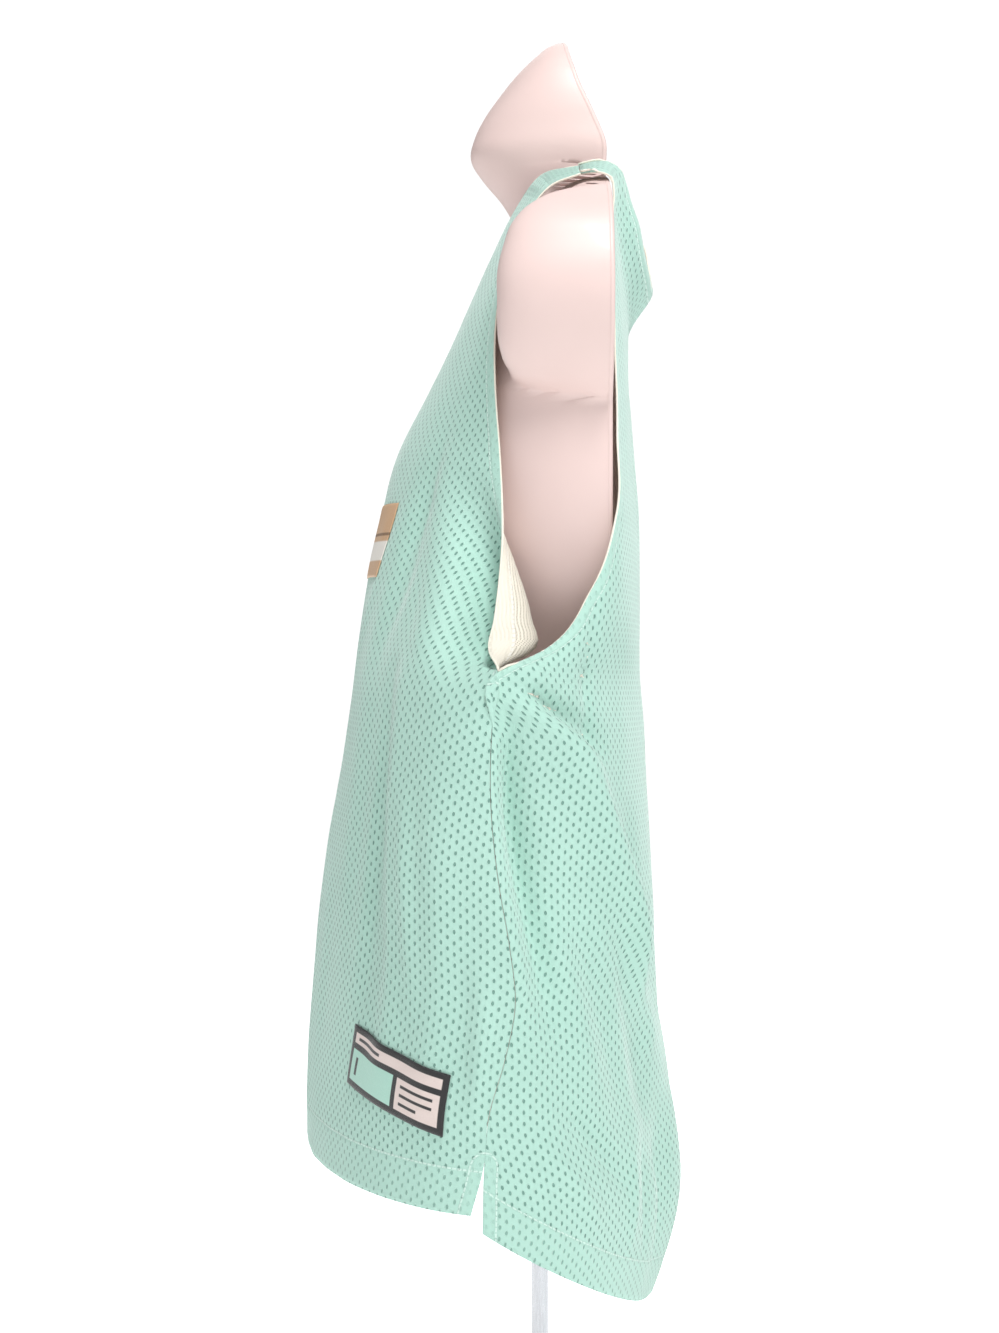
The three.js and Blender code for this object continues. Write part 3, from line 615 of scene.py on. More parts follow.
def set_map(piece: bpy.types.Object, name: str, values: Array) -> None:
    """Gives a mesh a UV map from two numbers for each of its vertices."""
    mesh = piece.data
    corners = np.empty(len(mesh.loops), np.int64)
    mesh.loops.foreach_get("vertex_index", corners)
    layer = mesh.uv_layers.new(name=name)
    layer.uv.foreach_set("vector", values[corners].astype(np.float32).ravel())


def tube_along(path: Array, radius: Array, sides: int = 10) -> tuple[Array, Array]:
    """A round tube carried along a path, closed by a point at each end.

    Each ring is a circle across the path's direction, turned so that its start stays in
    the plane of the direction and +Z or, where that fails, +Y.

    Args:
        path: places along the path.
        radius: the tube's radius at each of them.
        sides: points in a ring.

    Returns:
        The tube's places and its faces as quads.
    """
    along = unit(np.gradient(path, axis=0))
    guide = np.array([0.0, 0.0, 1.0])
    if np.abs(along[:, 2]).mean() > 0.7:
        guide = np.array([0.0, 1.0, 0.0])
    side = unit(np.cross(along, guide))
    up = np.cross(side, along)
    turn = np.linspace(0, 2 * np.pi, sides, endpoint=False)
    circle = (np.cos(turn)[None, :, None] * side[:, None] + np.sin(turn)[None, :, None] * up[:, None])
    rings = path[:, None] + circle * np.broadcast_to(radius, len(path))[:, None, None]
    count = len(path)
    j, i = np.meshgrid(np.arange(count - 1), np.arange(sides), indexing="ij")
    a, b = (j * sides + i).ravel(), (j * sides + (i + 1) % sides).ravel()
    walls = np.stack([a, a + sides, b + sides, b], -1)
    ends = []
    for start, order in ((0, 1), ((count - 1) * sides, -1)):
        ring = start + np.arange(sides)
        strip = np.stack([ring[:sides // 2 - 1], ring[1:sides // 2],
                          ring[::-1][1:sides // 2], ring[::-1][:sides // 2 - 1]], -1)
        ends.append(strip[:, ::order])
    return rings.reshape(-1, 3), np.concatenate([walls, *ends])


def lathe_piece(name: str, profile: Sequence[tuple[float, float]], segments: int = 96,
                smooth_angle: float = 32.0) -> bpy.types.Object:
    """A round piece about the pole's axis: its profile of (radius, z) turned in a circle.

    A profile that starts and ends on the axis is closed there by a point; any other is a
    loop, and closes on itself.
    """
    rz = np.array(profile, float)
    on_axis = rz[0, 0] == 0
    ring = rz[1:-1] if on_axis else rz
    turn = np.linspace(0, 2 * np.pi, segments, endpoint=False)
    r, z = ring[:, :1], np.broadcast_to(ring[:, 1:], (len(ring), segments))
    points = np.stack([r * np.cos(turn), r * np.sin(turn), z], -1).reshape(-1, 3)
    count = len(ring)
    span = count - 1 if on_axis else count
    j, i = np.meshgrid(np.arange(span), np.arange(segments), indexing="ij")
    k = (j + 1) % count
    quads = np.stack([j * segments + i, j * segments + (i + 1) % segments,
                      k * segments + (i + 1) % segments, k * segments + i], -1).reshape(-1, 4)
    faces = quads.tolist()
    if on_axis:
        points = np.concatenate([points, [[0, 0, rz[0, 1]], [0, 0, rz[-1, 1]]]])
        first, last = len(points) - 2, len(points) - 1
        top = (count - 1) * segments
        faces += [[first, (n + 1) % segments, n] for n in range(segments)]
        faces += [[last, top + n, top + (n + 1) % segments] for n in range(segments)]
    mesh = bpy.data.meshes.new(name)
    mesh.from_pydata((points * MM).tolist(), [], faces)
    mesh.update()
    mesh.shade_smooth()
    mesh.set_sharp_from_angle(angle=math.radians(smooth_angle))
    piece = bpy.data.objects.new(name, mesh)
    bpy.context.scene.collection.objects.link(piece)
    return piece


# ---------------------------------------------------------------- shader building

class Shader:
    """A small helper that adds nodes to a tree and links them."""

    def __init__(self, tree: bpy.types.NodeTree) -> None:
        """Keeps the tree."""
        self.tree = tree

    def node(self, kind: str, **settings: object) -> bpy.types.Node:
        """A new node with its properties set."""
        made = self.tree.nodes.new(kind)
        for name, value in settings.items():
            setattr(made, name, value)
        return made

    def put(self, target: bpy.types.NodeSocket, source: object) -> None:
        """Links a socket to a socket, or sets it to a plain value."""
        if isinstance(source, bpy.types.NodeSocket):
            self.tree.links.new(source, target)
        else:
            target.default_value = source

    def math(self, operation: str, *inputs: object, clamp: bool = False) -> bpy.types.NodeSocket:
        """The result of a Math node."""
        made = self.node("ShaderNodeMath", operation=operation, use_clamp=clamp)
        for socket, value in zip(made.inputs, inputs):
            self.put(socket, value)
        return made.outputs[0]

    def mix(self, factor: object, a: object, b: object, blend: str = "MIX"
            ) -> bpy.types.NodeSocket:
        """The result of a colour Mix node."""
        made = self.node("ShaderNodeMix", data_type="RGBA", blend_type=blend, clamp_factor=True)
        self.put(made.inputs[0], factor)
        self.put(made.inputs[6], a)
        self.put(made.inputs[7], b)
        return made.outputs[2]

    def step(self, value: object, low: float, high: float, start: float = 0.0,
             end: float = 1.0) -> bpy.types.NodeSocket:
        """A soft step of a value from start at low to end at high."""
        made = self.node("ShaderNodeMapRange", interpolation_type="SMOOTHSTEP")
        for socket, setting in zip(made.inputs, (value, low, high, start, end)):
            self.put(socket, setting)
        return made.outputs[0]

    def noise(self, vector: object, scale: float, detail: float = 2.0, rough: float = 0.5
              ) -> bpy.types.NodeSocket:
        """The value of a Noise node."""
        made = self.node("ShaderNodeTexNoise")
        self.put(made.inputs["Vector"], vector)
        made.inputs["Scale"].default_value = scale
        made.inputs["Detail"].default_value = detail
        made.inputs["Roughness"].default_value = rough
        return made.outputs["Fac"]

    def bump(self, height: object, strength: float, distance: float, normal: object = None
             ) -> bpy.types.NodeSocket:
        """The normal of a Bump node."""
        made = self.node("ShaderNodeBump")
        made.inputs["Strength"].default_value = strength
        made.inputs["Distance"].default_value = distance
        self.put(made.inputs["Height"], height)
        if normal is not None:
            self.put(made.inputs["Normal"], normal)
        return made.outputs[0]

    def group(self, tree: bpy.types.NodeTree, **inputs: object) -> bpy.types.Node:
        """A node group placed with its own values, named with _ for spaces."""
        made = self.node("ShaderNodeGroup", node_tree=tree)
        for name, value in inputs.items():
            self.put(made.inputs[name.replace("_", " ")], value)
        return made


def new_group(name: str, inputs: dict[str, tuple[str, object]], outputs: dict[str, str]
              ) -> tuple[bpy.types.NodeTree, Shader, bpy.types.Node, bpy.types.Node]:
    """An empty shader node group with its sockets.

    Args:
        name: the group's name.
        inputs: each input's kind (Float, Vector, Color) and default.
        outputs: each output's kind.

    Returns:
        The tree, a helper for it, and its input and output nodes.
    """
    tree = bpy.data.node_groups.new(name, "ShaderNodeTree")
    for label, (kind, default) in inputs.items():
        socket = tree.interface.new_socket(label, in_out="INPUT", socket_type="NodeSocket" + kind)
        if default is not None:
            socket.default_value = default
    for label, kind in outputs.items():
        tree.interface.new_socket(label, in_out="OUTPUT", socket_type="NodeSocket" + kind)
    shader = Shader(tree)
    return tree, shader, shader.node("NodeGroupInput"), shader.node("NodeGroupOutput")


class Effects:
    """The node groups that the finishes share, each built once."""

    def __init__(self) -> None:
        """Builds every group."""
        self.holes = self.knit_holes()
        self.cloth = self.cloth_shade()
        self.stitches = self.topstitch()
        self.speckle = self.soft_speckle()

    @staticmethod
    def knit_holes() -> bpy.types.NodeTree:
        """Staggered oval holes: a brick lattice, every other column shifted by half a step.

        The mask is 1 inside each opening and fades over its rim; Ridge is the rim's raised yarn.
        """
        tree, s, given, out = new_group("knit_holes", {
            "Vector": ("Vector", None), "Column": ("Float", 0.0043), "Step": ("Float", 0.007),
            "Width": ("Float", 0.0016), "Height": ("Float", 0.0026),
        }, {"Hole": "Float", "Ridge": "Float"})
        parts = s.node("ShaderNodeSeparateXYZ")
        s.put(parts.inputs[0], given.outputs["Vector"])
        u = s.math("DIVIDE", parts.outputs[0], given.outputs["Column"])
        column = s.math("FLOOR", u)
        odd = s.math("MULTIPLY", s.math("FLOORED_MODULO", column, 2.0), 0.5)
        v = s.math("ADD", s.math("DIVIDE", parts.outputs[1], given.outputs["Step"]), odd)
        du = s.math("MULTIPLY", s.math("SUBTRACT", s.math("FRACT", u), 0.5), given.outputs["Column"])
        dv = s.math("MULTIPLY", s.math("SUBTRACT", s.math("FRACT", v), 0.5), given.outputs["Step"])
        a = s.math("DIVIDE", du, s.math("MULTIPLY", given.outputs["Width"], 0.5))
        b = s.math("DIVIDE", dv, s.math("MULTIPLY", given.outputs["Height"], 0.5))
        far = s.math("SQRT", s.math("ADD", s.math("MULTIPLY", a, a), s.math("MULTIPLY", b, b)))
        s.put(out.inputs["Hole"], s.step(far, 1.25, 0.75))
        s.put(out.inputs["Ridge"], s.math("MULTIPLY", s.step(far, 0.9, 1.3), s.step(far, 2.2, 1.4)))
        return tree

    @staticmethod
    def cloth_shade() -> bpy.types.NodeTree:
        """Slow drift of tone over cloth, and the fine rib of its knit."""
        tree, s, given, out = new_group("cloth_shade", {
            "Vector": ("Vector", None), "Drift": ("Float", 0.5), "Rib": ("Float", 0.0011),
        }, {"Tone": "Float", "Knit": "Float"})
        drift = s.noise(given.outputs["Vector"], 7.0, 3.0)
        tone = s.math("MULTIPLY", s.math("SUBTRACT", drift, 0.5), given.outputs["Drift"])
        s.put(out.inputs["Tone"], s.math("ADD", tone, 0.5))
        parts = s.node("ShaderNodeSeparateXYZ")
        s.put(parts.inputs[0], given.outputs["Vector"])
        wave = [s.math("SINE", s.math("MULTIPLY", s.math("DIVIDE", parts.outputs[k],
                given.outputs["Rib"]), 2 * math.pi)) for k in (0, 1)]
        s.put(out.inputs["Knit"], s.math("MULTIPLY", wave[0], wave[1]))
        return tree

    @staticmethod
    def topstitch() -> bpy.types.NodeTree:
        """A row of stitches at a distance from an edge: dashes along the cloth's length, and a band
        beside them where the thread draws a groove, which also carries painted shade.
        """
        tree, s, given, out = new_group("topstitch", {
            "Distance": ("Float", 0.0), "Along": ("Float", 0.0), "Row": ("Float", 0.027),
            "Thread": ("Float", 0.0011), "Stitch": ("Float", 0.0034),
        }, {"Thread": "Float", "GrooveAndShade": "Float"})
        off = s.math("ABSOLUTE", s.math("SUBTRACT", given.outputs["Distance"], given.outputs["Row"]))
        beside = s.math("DIVIDE", off, given.outputs["Thread"])
        dash = s.math("ABSOLUTE", s.math("SUBTRACT", s.math("FRACT", s.math(
            "DIVIDE", given.outputs["Along"], given.outputs["Stitch"])), 0.5))
        s.put(out.inputs["Thread"], s.math("MULTIPLY", s.step(beside, 0.75, 0.35),
                                           s.step(dash, 0.44, 0.34)))
        # the band beside the row: sunk by the bump, and darkened as painted shade
        s.put(out.inputs["GrooveAndShade"], s.step(beside, 2.4, 0.4))
        return tree

    @staticmethod
    def soft_speckle() -> bpy.types.NodeTree:
        """Fine grain and a slow drift, for moulded, printed and coated faces."""
        tree, s, given, out = new_group("soft_speckle", {
            "Vector": ("Vector", None), "Grain": ("Float", 900.0), "Drift": ("Float", 5.0),
        }, {"Grain": "Float", "Drift": "Float"})
        for label, detail in (("Grain", 2.0), ("Drift", 3.0)):
            made = s.node("ShaderNodeTexNoise")
            s.put(made.inputs["Vector"], given.outputs["Vector"])
            s.put(made.inputs["Scale"], given.outputs[label])
            made.inputs["Detail"].default_value = detail
            s.put(out.inputs[label], made.outputs["Fac"])
        return tree


Colour = tuple[float, float, float, float]


def paint(red: float, green: float, blue: float) -> Colour:
    """A colour given in display values of 0..255, as the linear values shaders use."""
    def linear(value: float) -> float:
        """One channel from display to linear."""
        c = value / 255
        return c / 12.92 if c <= 0.04045 else ((c + 0.055) / 1.055) ** 2.4
    return (linear(red), linear(green), linear(blue), 1.0)


def new_material(name: str) -> tuple[bpy.types.Material, Shader, bpy.types.Node]:
    """A material with a Principled BSDF.

    Returns:
        The material, a helper for its nodes, and its BSDF node.
    """
    material = bpy.data.materials.new(name)
    material.use_nodes = True
    return material, Shader(material.node_tree), material.node_tree.nodes["Principled BSDF"]


@dataclass(frozen=True)
class MeshKnit:
    """An open knit with staggered oval holes, turned hems and topstitching."""

    name: str
    yarn: Colour
    shade: Colour
    # painted shade: the colour given to the open holes, in place of what lies behind them
    hole: Colour
    thread: Colour
    column: float
    step: float
    hole_width: float
    hole_height: float
    roughness: float
    sheen: float
    band_fill: float
    edge_row: float = 0.0085

    def build(self, effects: Effects) -> bpy.types.Material:
        """The material. It reads the UV maps `cloth` (places on the cut cloth) and `trim`
        (distances to the hem and to the other finished edges), all in metres."""
        material, s, bsdf = new_material(self.name)
        cloth = s.node("ShaderNodeUVMap", uv_map="cloth").outputs[0]
        trim = s.node("ShaderNodeSeparateXYZ")
        s.put(trim.inputs[0], s.node("ShaderNodeUVMap", uv_map="trim").outputs[0])
        parts = s.node("ShaderNodeSeparateXYZ")
        s.put(parts.inputs[0], cloth)
        knit = s.group(effects.holes, Vector=cloth, Column=self.column, Step=self.step,
                       Width=self.hole_width, Height=self.hole_height)
        shade = s.group(effects.cloth, Vector=cloth, Drift=0.9, Rib=0.0011)
        hem = s.group(effects.stitches, Distance=trim.outputs[0], Along=parts.outputs[0], Row=0.027)
        edge = s.group(effects.stitches, Distance=trim.outputs[1], Along=parts.outputs[1],
                       Row=self.edge_row)
        band = s.math("MAXIMUM", s.step(trim.outputs[1], self.edge_row + 0.0008, self.edge_row),
                      s.math("MULTIPLY", s.step(trim.outputs[0], 0.0278, 0.0266), 0.35))
        filled = s.math("MULTIPLY", band, self.band_fill)
        # the open holes, fewer in the filled bands: they take the painted shade colour, more
        # roughness and a dip
        hole = s.math("MULTIPLY", knit.outputs["Hole"], s.math("SUBTRACT", 1.0, filled))
        thread = s.math("MAXIMUM", hem.outputs["Thread"], edge.outputs["Thread"])
        stitch_groove_and_shade = s.math("MAXIMUM", hem.outputs["GrooveAndShade"], edge.outputs["GrooveAndShade"])
        tone = s.mix(shade.outputs["Tone"], self.shade, self.yarn)
        # painted shade: the cloth beside each stitch row is darkened towards the shade colour, as its
        # groove would be shaded
        tone = s.mix(s.math("MULTIPLY", stitch_groove_and_shade, 0.16), tone, self.shade)
        # painted shade: the open holes are coloured dark rather than showing the lining behind
        tone = s.mix(hole, tone, self.hole)
        s.put(bsdf.inputs["Base Color"], s.mix(s.math("MULTIPLY", thread, 0.75), tone, self.thread))
        s.put(bsdf.inputs["Roughness"], s.step(hole, 0.0, 1.0, self.roughness, 0.95))
        relief = s.math("ADD", s.math("MULTIPLY", knit.outputs["Ridge"], 0.25),
                        s.math("MULTIPLY", shade.outputs["Knit"], 0.08))
        relief = s.math("SUBTRACT", relief, s.math("MULTIPLY", hole, 1.0))
        relief = s.math("ADD", relief, s.math("SUBTRACT", s.math("MULTIPLY", thread, 0.8),
                                              s.math("MULTIPLY", stitch_groove_and_shade, 0.7)))
        s.put(bsdf.inputs["Normal"], s.bump(relief, 0.7, 0.0007))
        bsdf.inputs["Sheen Weight"].default_value = self.sheen
        bsdf.inputs["Sheen Roughness"].default_value = 0.4
        bsdf.inputs["Specular IOR Level"].default_value = 0.25
        return material


@dataclass(frozen=True)
class EdgeTape:
    """Fine plain knit, as on the edge that the lining makes around the openings."""

    name: str
    light: Colour
    dark: Colour
    roughness: float = 0.85

    def build(self, effects: Effects) -> bpy.types.Material:
        """The material, which reads Object coordinates."""
        material, s, bsdf = new_material(self.name)
        where = s.node("ShaderNodeTexCoord").outputs["Object"]
        grain = s.group(effects.speckle, Vector=where, Grain=1400.0, Drift=14.0)
        s.put(bsdf.inputs["Base Color"], s.mix(grain.outputs["Grain"], self.dark, self.light))
        bsdf.inputs["Roughness"].default_value = self.roughness
        s.put(bsdf.inputs["Normal"], s.bump(grain.outputs["Grain"], 0.5, 0.0004))
        bsdf.inputs["Sheen Weight"].default_value = 0.2
        return material


@dataclass(frozen=True)
class ChestFilm:
    """A plain printed block: a tan field with a pale band across it, and a thin dark rule."""

    name: str
    field_colour: Colour
    band_colour: Colour
    rule_colour: Colour

    def build(self, effects: Effects) -> bpy.types.Material:
        """The material, which reads the UV map `face` (0..1 both ways)."""
        material, s, bsdf = new_material(self.name)
        face = s.node("ShaderNodeUVMap", uv_map="face").outputs[0]
        parts = s.node("ShaderNodeSeparateXYZ")
        s.put(parts.inputs[0], face)
        where = s.node("ShaderNodeTexCoord").outputs["Object"]
        grain = s.group(effects.speckle, Vector=where, Grain=700.0, Drift=24.0)
        v = parts.outputs[1]
        band = s.math("MULTIPLY", s.step(v, 0.20, 0.23), s.step(v, 0.50, 0.47))
        rule = s.math("MULTIPLY", s.step(v, 0.555, 0.57), s.step(v, 0.61, 0.595))
        colour = s.mix(s.math("MULTIPLY", grain.outputs["Drift"], 0.35), self.field_colour,
                       self.band_colour)
        colour = s.mix(band, colour, self.band_colour)
        colour = s.mix(s.math("MULTIPLY", rule, 0.7), colour, self.rule_colour)
        s.put(bsdf.inputs["Base Color"], colour)
        s.put(bsdf.inputs["Roughness"], s.step(grain.outputs["Grain"], 0.3, 0.7, 0.42, 0.56))
        s.put(bsdf.inputs["Normal"], s.bump(grain.outputs["Grain"], 0.35, 0.0003))
        return material


@dataclass(frozen=True)
class WovenLabel:
    """A woven label: a black border around two satin cells with plain woven bars."""

    name: str
    border: Colour
    left_cell: Colour
    right_cell: Colour
    bar: Colour

    def build(self, effects: Effects) -> bpy.types.Material:
        """The material, which reads the UV map `face` (0..1 both ways)."""
        material, s, bsdf = new_material(self.name)
        face = s.node("ShaderNodeUVMap", uv_map="face").outputs[0]
        parts = s.node("ShaderNodeSeparateXYZ")
        s.put(parts.inputs[0], face)
        u, v = parts.outputs[0], parts.outputs[1]

        def block(u0: float, u1: float, v0: float, v1: float) -> bpy.types.NodeSocket:
            """A mask that is 1 in a rectangle of the face."""
            soft = 0.006
            sides = s.math("MULTIPLY", s.step(u, u0, u0 + soft), s.step(u, u1 + soft, u1))
            ends = s.math("MULTIPLY", s.step(v, v0, v0 + 2 * soft), s.step(v, v1 + 2 * soft, v1))
            return s.math("MULTIPLY", sides, ends)

        colour = s.mix(block(0.045, 0.955, 0.72, 0.89), self.border, self.left_cell)
        colour = s.mix(block(0.045, 0.56, 0.11, 0.62), colour, self.right_cell)
        colour = s.mix(block(0.60, 0.955, 0.11, 0.62), colour, self.left_cell)
        for u0, u1, v0, v1 in ((0.64, 0.91, 0.48, 0.53), (0.64, 0.91, 0.34, 0.39),
                               (0.64, 0.80, 0.20, 0.25), (0.10, 0.13, 0.22, 0.51),
                               (0.09, 0.40, 0.78, 0.83)):
            colour = s.mix(block(u0, u1, v0, v1), colour, self.bar)
        weave = s.math("SINE", s.math("MULTIPLY", u, 2 * math.pi * 150))
        pick = s.math("SINE", s.math("MULTIPLY", v, 2 * math.pi * 70))
        cloth = s.math("MULTIPLY", weave, pick)
        where = s.node("ShaderNodeTexCoord").outputs["Object"]
        grain = s.group(effects.speckle, Vector=where, Grain=1100.0, Drift=30.0)
        colour = s.mix(s.math("MULTIPLY", grain.outputs["Grain"], 0.10), colour, self.bar)
        s.put(bsdf.inputs["Base Color"], colour)
        s.put(bsdf.inputs["Roughness"], s.step(grain.outputs["Grain"], 0.3, 0.7, 0.38, 0.52))
        s.put(bsdf.inputs["Normal"], s.bump(cloth, 0.35, 0.0003))
        bsdf.inputs["Sheen Weight"].default_value = 0.25
        return material


@dataclass(frozen=True)
class Moulding:
    """A plain moulded, coated or brushed face with fine grain and a slow drift of tone."""

    name: str
    light: Colour
    dark: Colour
    roughness: float
    metallic: float = 0.0
    grain: float = 900.0
    relief: float = 0.06
    coat: float = 0.0
    brushed: float = 0.0
    glow: float = 0.0

    def build(self, effects: Effects) -> bpy.types.Material:
        """The material, which reads Object coordinates."""
        material, s, bsdf = new_material(self.name)
        where = s.node("ShaderNodeTexCoord").outputs["Object"]
        if self.brushed:
            scaled = s.node("ShaderNodeMapping")
            s.put(scaled.inputs["Vector"], where)
            scaled.inputs["Scale"].default_value = (1.0, 1.0, self.brushed)
            where = scaled.outputs[0]
        noise = s.group(effects.speckle, Vector=where, Grain=self.grain, Drift=6.0)
        tone = s.step(noise.outputs["Drift"], 0.3, 0.7)
        s.put(bsdf.inputs["Base Color"], s.mix(tone, self.dark, self.light))
        s.put(bsdf.inputs["Roughness"], s.step(noise.outputs["Grain"], 0.3, 0.7,
                                               self.roughness - 0.05, self.roughness + 0.05))
        s.put(bsdf.inputs["Normal"], s.bump(noise.outputs["Grain"], self.relief, 0.0005))
        bsdf.inputs["Metallic"].default_value = self.metallic
        bsdf.inputs["Coat Weight"].default_value = self.coat
        bsdf.inputs["Emission Color"].default_value = self.light
        bsdf.inputs["Emission Strength"].default_value = self.glow
        return material


# The hole colours of both knits are painted shade inside the holes.
MINT_MESH = MeshKnit(
    "mint_mesh", yarn=paint(184, 222, 209), shade=paint(166, 207, 193), hole=paint(116, 156, 144),
    thread=paint(212, 238, 228), column=0.0043, step=0.007, hole_width=0.0016,
    hole_height=0.0026, roughness=0.62, sheen=0.35, band_fill=0.75)
IVORY_MESH = MeshKnit(
    "ivory_mesh", yarn=paint(246, 242, 228), shade=paint(236, 230, 214), hole=paint(170, 160, 138),
    thread=paint(250, 248, 240), column=0.0014, step=0.0021, hole_width=0.0006,
    hole_height=0.0009, roughness=0.75, sheen=0.25, band_fill=0.9)
IVORY_EDGE = EdgeTape("ivory_edge", paint(248, 244, 232), paint(226, 220, 202))
CHEST_FILM = ChestFilm("chest_film", paint(206, 160, 112), paint(244, 240, 232), paint(90, 66, 48))
LABEL_WEAVE = WovenLabel("label_weave", paint(22, 22, 24), paint(228, 212, 206),
                         paint(176, 222, 206), paint(30, 30, 32))
FORM_PLASTIC = Moulding("form_plastic", paint(226, 203, 198), paint(219, 195, 190), 0.50,
                        relief=0.04, coat=0.05)
STAND_STEEL = Moulding("stand_steel", paint(205, 207, 210), paint(178, 181, 186), 0.30,
                       metallic=1.0, grain=1600.0, relief=0.08, brushed=0.04)
BASE_ENAMEL = Moulding("base_enamel", paint(236, 233, 229), paint(228, 225, 220), 0.42,
                       grain=1300.0, relief=0.10, coat=0.2)


# ---------------------------------------------------------------- the sub-assemblies

class Workshop:
    """What every sub-assembly needs: the shared effects, the finishes, and the handing over."""

    def __init__(self) -> None:
        """Builds the effects, with no finish made yet."""
        self.effects = Effects()
        self.made: dict[str, bpy.types.Material] = {}

    def dress(self, piece: bpy.types.Object, finish: object) -> None:
        """Gives a piece its finish, built on first use."""
        if finish.name not in self.made:
            self.made[finish.name] = finish.build(self.effects)
        piece.data.materials.clear()
        piece.data.materials.append(self.made[finish.name])

    def hand_over(self, piece: bpy.types.Object, finish: object, slot: str, *nodes: str
                  ) -> bpy.types.Object:
        """Dresses a piece, rides it on the frame and hides the solids it stands for."""
        self.dress(piece, finish)
        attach(piece, "root")
        if nodes:
            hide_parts(*nodes)
        log.info("%s: %d faces", piece.name, len(piece.data.polygons))
        return piece


@dataclass
class Jersey:
    """The two plies of each panel, with what is sewn and printed on them."""

    shop: Workshop
    cut: JerseyCut = field(default_factory=JerseyCut)
    roll_radius: float = 0.8
    print_lift: float = 0.5
    print_thick: float = 0.5
    label_lift: float = 0.9
    label_thick: float = 0.8

    def build(self) -> None:
        """Builds every piece of the jersey."""
        surfaces = {panel: PanelSurface(panel, self.cut) for panel in Panel}
        for panel, surface in surfaces.items():
            name = panel.name.lower()
            shell = self.ply(surface, f"{name}_shell", False)
            lining = self.ply(surface, f"{name}_mesh_lining", True)
            rolls = [self.edge_roll(surface, f"{name}_neck_edge", self.neck_path(panel))]
            for side, sign in (("left", 1.0), ("right", -1.0)):
                rolls.append(self.edge_roll(surface, f"{name}_{side}_armhole_edge",
                                            self.armhole_path(panel, sign)))
            self.declare(panel)
        self.patch(surfaces[Panel.FRONT], "chest_block", (0, 425, 168, 58, 0), self.print_lift,
                   self.print_thick, CHEST_FILM, "print_film", "chest_print")
        self.patch(surfaces[Panel.FRONT], "hem_woven_label", (229, 72.5, 99, 38, -8.5),
                   self.label_lift, self.label_thick, LABEL_WEAVE, "label_weave", "hem_label")

    def ply(self, surface: PanelSurface, name: str, is_lining: bool) -> bpy.types.Object:
        """One ply: the outer face and the same face moved in by its wall.

        Args:
            surface: the panel's outer face.
            name: the piece's name.
            is_lining: whether it is the inner ply, behind the outer one.

        Returns:
            The dressed piece.
        """
        counts = (44, 26, 130) if is_lining else (64, 42, 190)
        grid = PanelSampler(surface, *counts).grid()
        wall = self.cut.ply + grid.turned
        near = wall + self.cut.ply_gap if is_lining else np.zeros_like(wall)
        far = near + (self.cut.lining if is_lining else wall)
        outer = grid.points - grid.outs * near[..., None]
        inner = grid.points - grid.outs * far[..., None]
        piece = wall_piece(name, outer, inner)
        both = np.concatenate([np.stack([grid.across, grid.height], -1).reshape(-1, 2)] * 2)
        set_map(piece, "cloth", both * MM)
        set_map(piece, "trim", np.concatenate([grid.trim.reshape(-1, 2)] * 2) * MM)
        node = f"{surface.panel.name.lower()}_{'lining' if is_lining else 'panel'}"
        finish, slot = (IVORY_MESH, "ivory_mesh") if is_lining else (MINT_MESH, "mint_mesh")
        return self.shop.hand_over(piece, finish, slot, node)

    def neck_path(self, panel: Panel) -> tuple[Array, Array]:
        """Shares and heights along the neckline, from one shoulder to the other."""
        share = self.cut.neck_share * np.sin(np.linspace(-np.pi / 2, np.pi / 2, 90))
        return share, self.cut.panel_top(panel, share)

    def armhole_path(self, panel: Panel, sign: float) -> tuple[Array, Array]:
        """Shares and heights up one armhole, from the underarm to the shoulder."""
        height = np.linspace(self.cut.underarm, self.cut.top(panel), 110)
        return np.full_like(height, sign), height

    def edge_roll(self, surface: PanelSurface, name: str, path: tuple[Array, Array]
                  ) -> bpy.types.Object:
        """The lining's edge that rolls a little past the outer mesh: a tube along an edge,
        set between the two plies."""
        share, height = path
        step = 4.0
        half = surface.half_width(height)
        edge = surface.place(share, height)
        inward_share = share - np.sign(share) * step / half
        is_neck = not np.allclose(np.abs(share), np.abs(share[0]))
        below = surface.place(share if is_neck else inward_share,
                              height - step if is_neck else height)
        inward = unit(below - edge)
        along = unit(np.gradient(edge, axis=0))
        out = unit(np.cross(along, inward))
        away = surface.place(share * 0.98, height - 6) + np.array([0, surface.panel.value * 40.0, 0])
        out *= np.where(((away - edge) * out).sum(-1, keepdims=True) < 0, -1.0, 1.0)
        depth = self.cut.ply + self.cut.ply_gap / 2
        centre = edge - out * depth + inward * 0.35
        points, faces = tube_along(centre, np.array(self.roll_radius), 10)
        return self.shop.hand_over(new_mesh(name, points, faces), IVORY_EDGE, "ivory_mesh")

    def declare(self,
                panel: Panel) -> None:
        """Works out how wide and long the panel's plies were cut and where their cloth lies, but
        keeps and reports none of it.
        """
        surface = PanelSurface(panel, self.cut)
        width = 2 * float(surface.half_width(np.array([100.0]))[0]) * MM
        low = float(self.cut.hem(panel, np.array(0.0)))
        length = (self.cut.top(panel) - low) * MM
        height = np.linspace(low, self.cut.top(panel), 200)
        share = np.linspace(-1, 1, 201)
        s, h = np.meshgrid(share, height)
        cloth = (h >= self.cut.hem(panel, s)) & (h <= self.cut.panel_top(panel, s))
        half = surface.half_width(height)

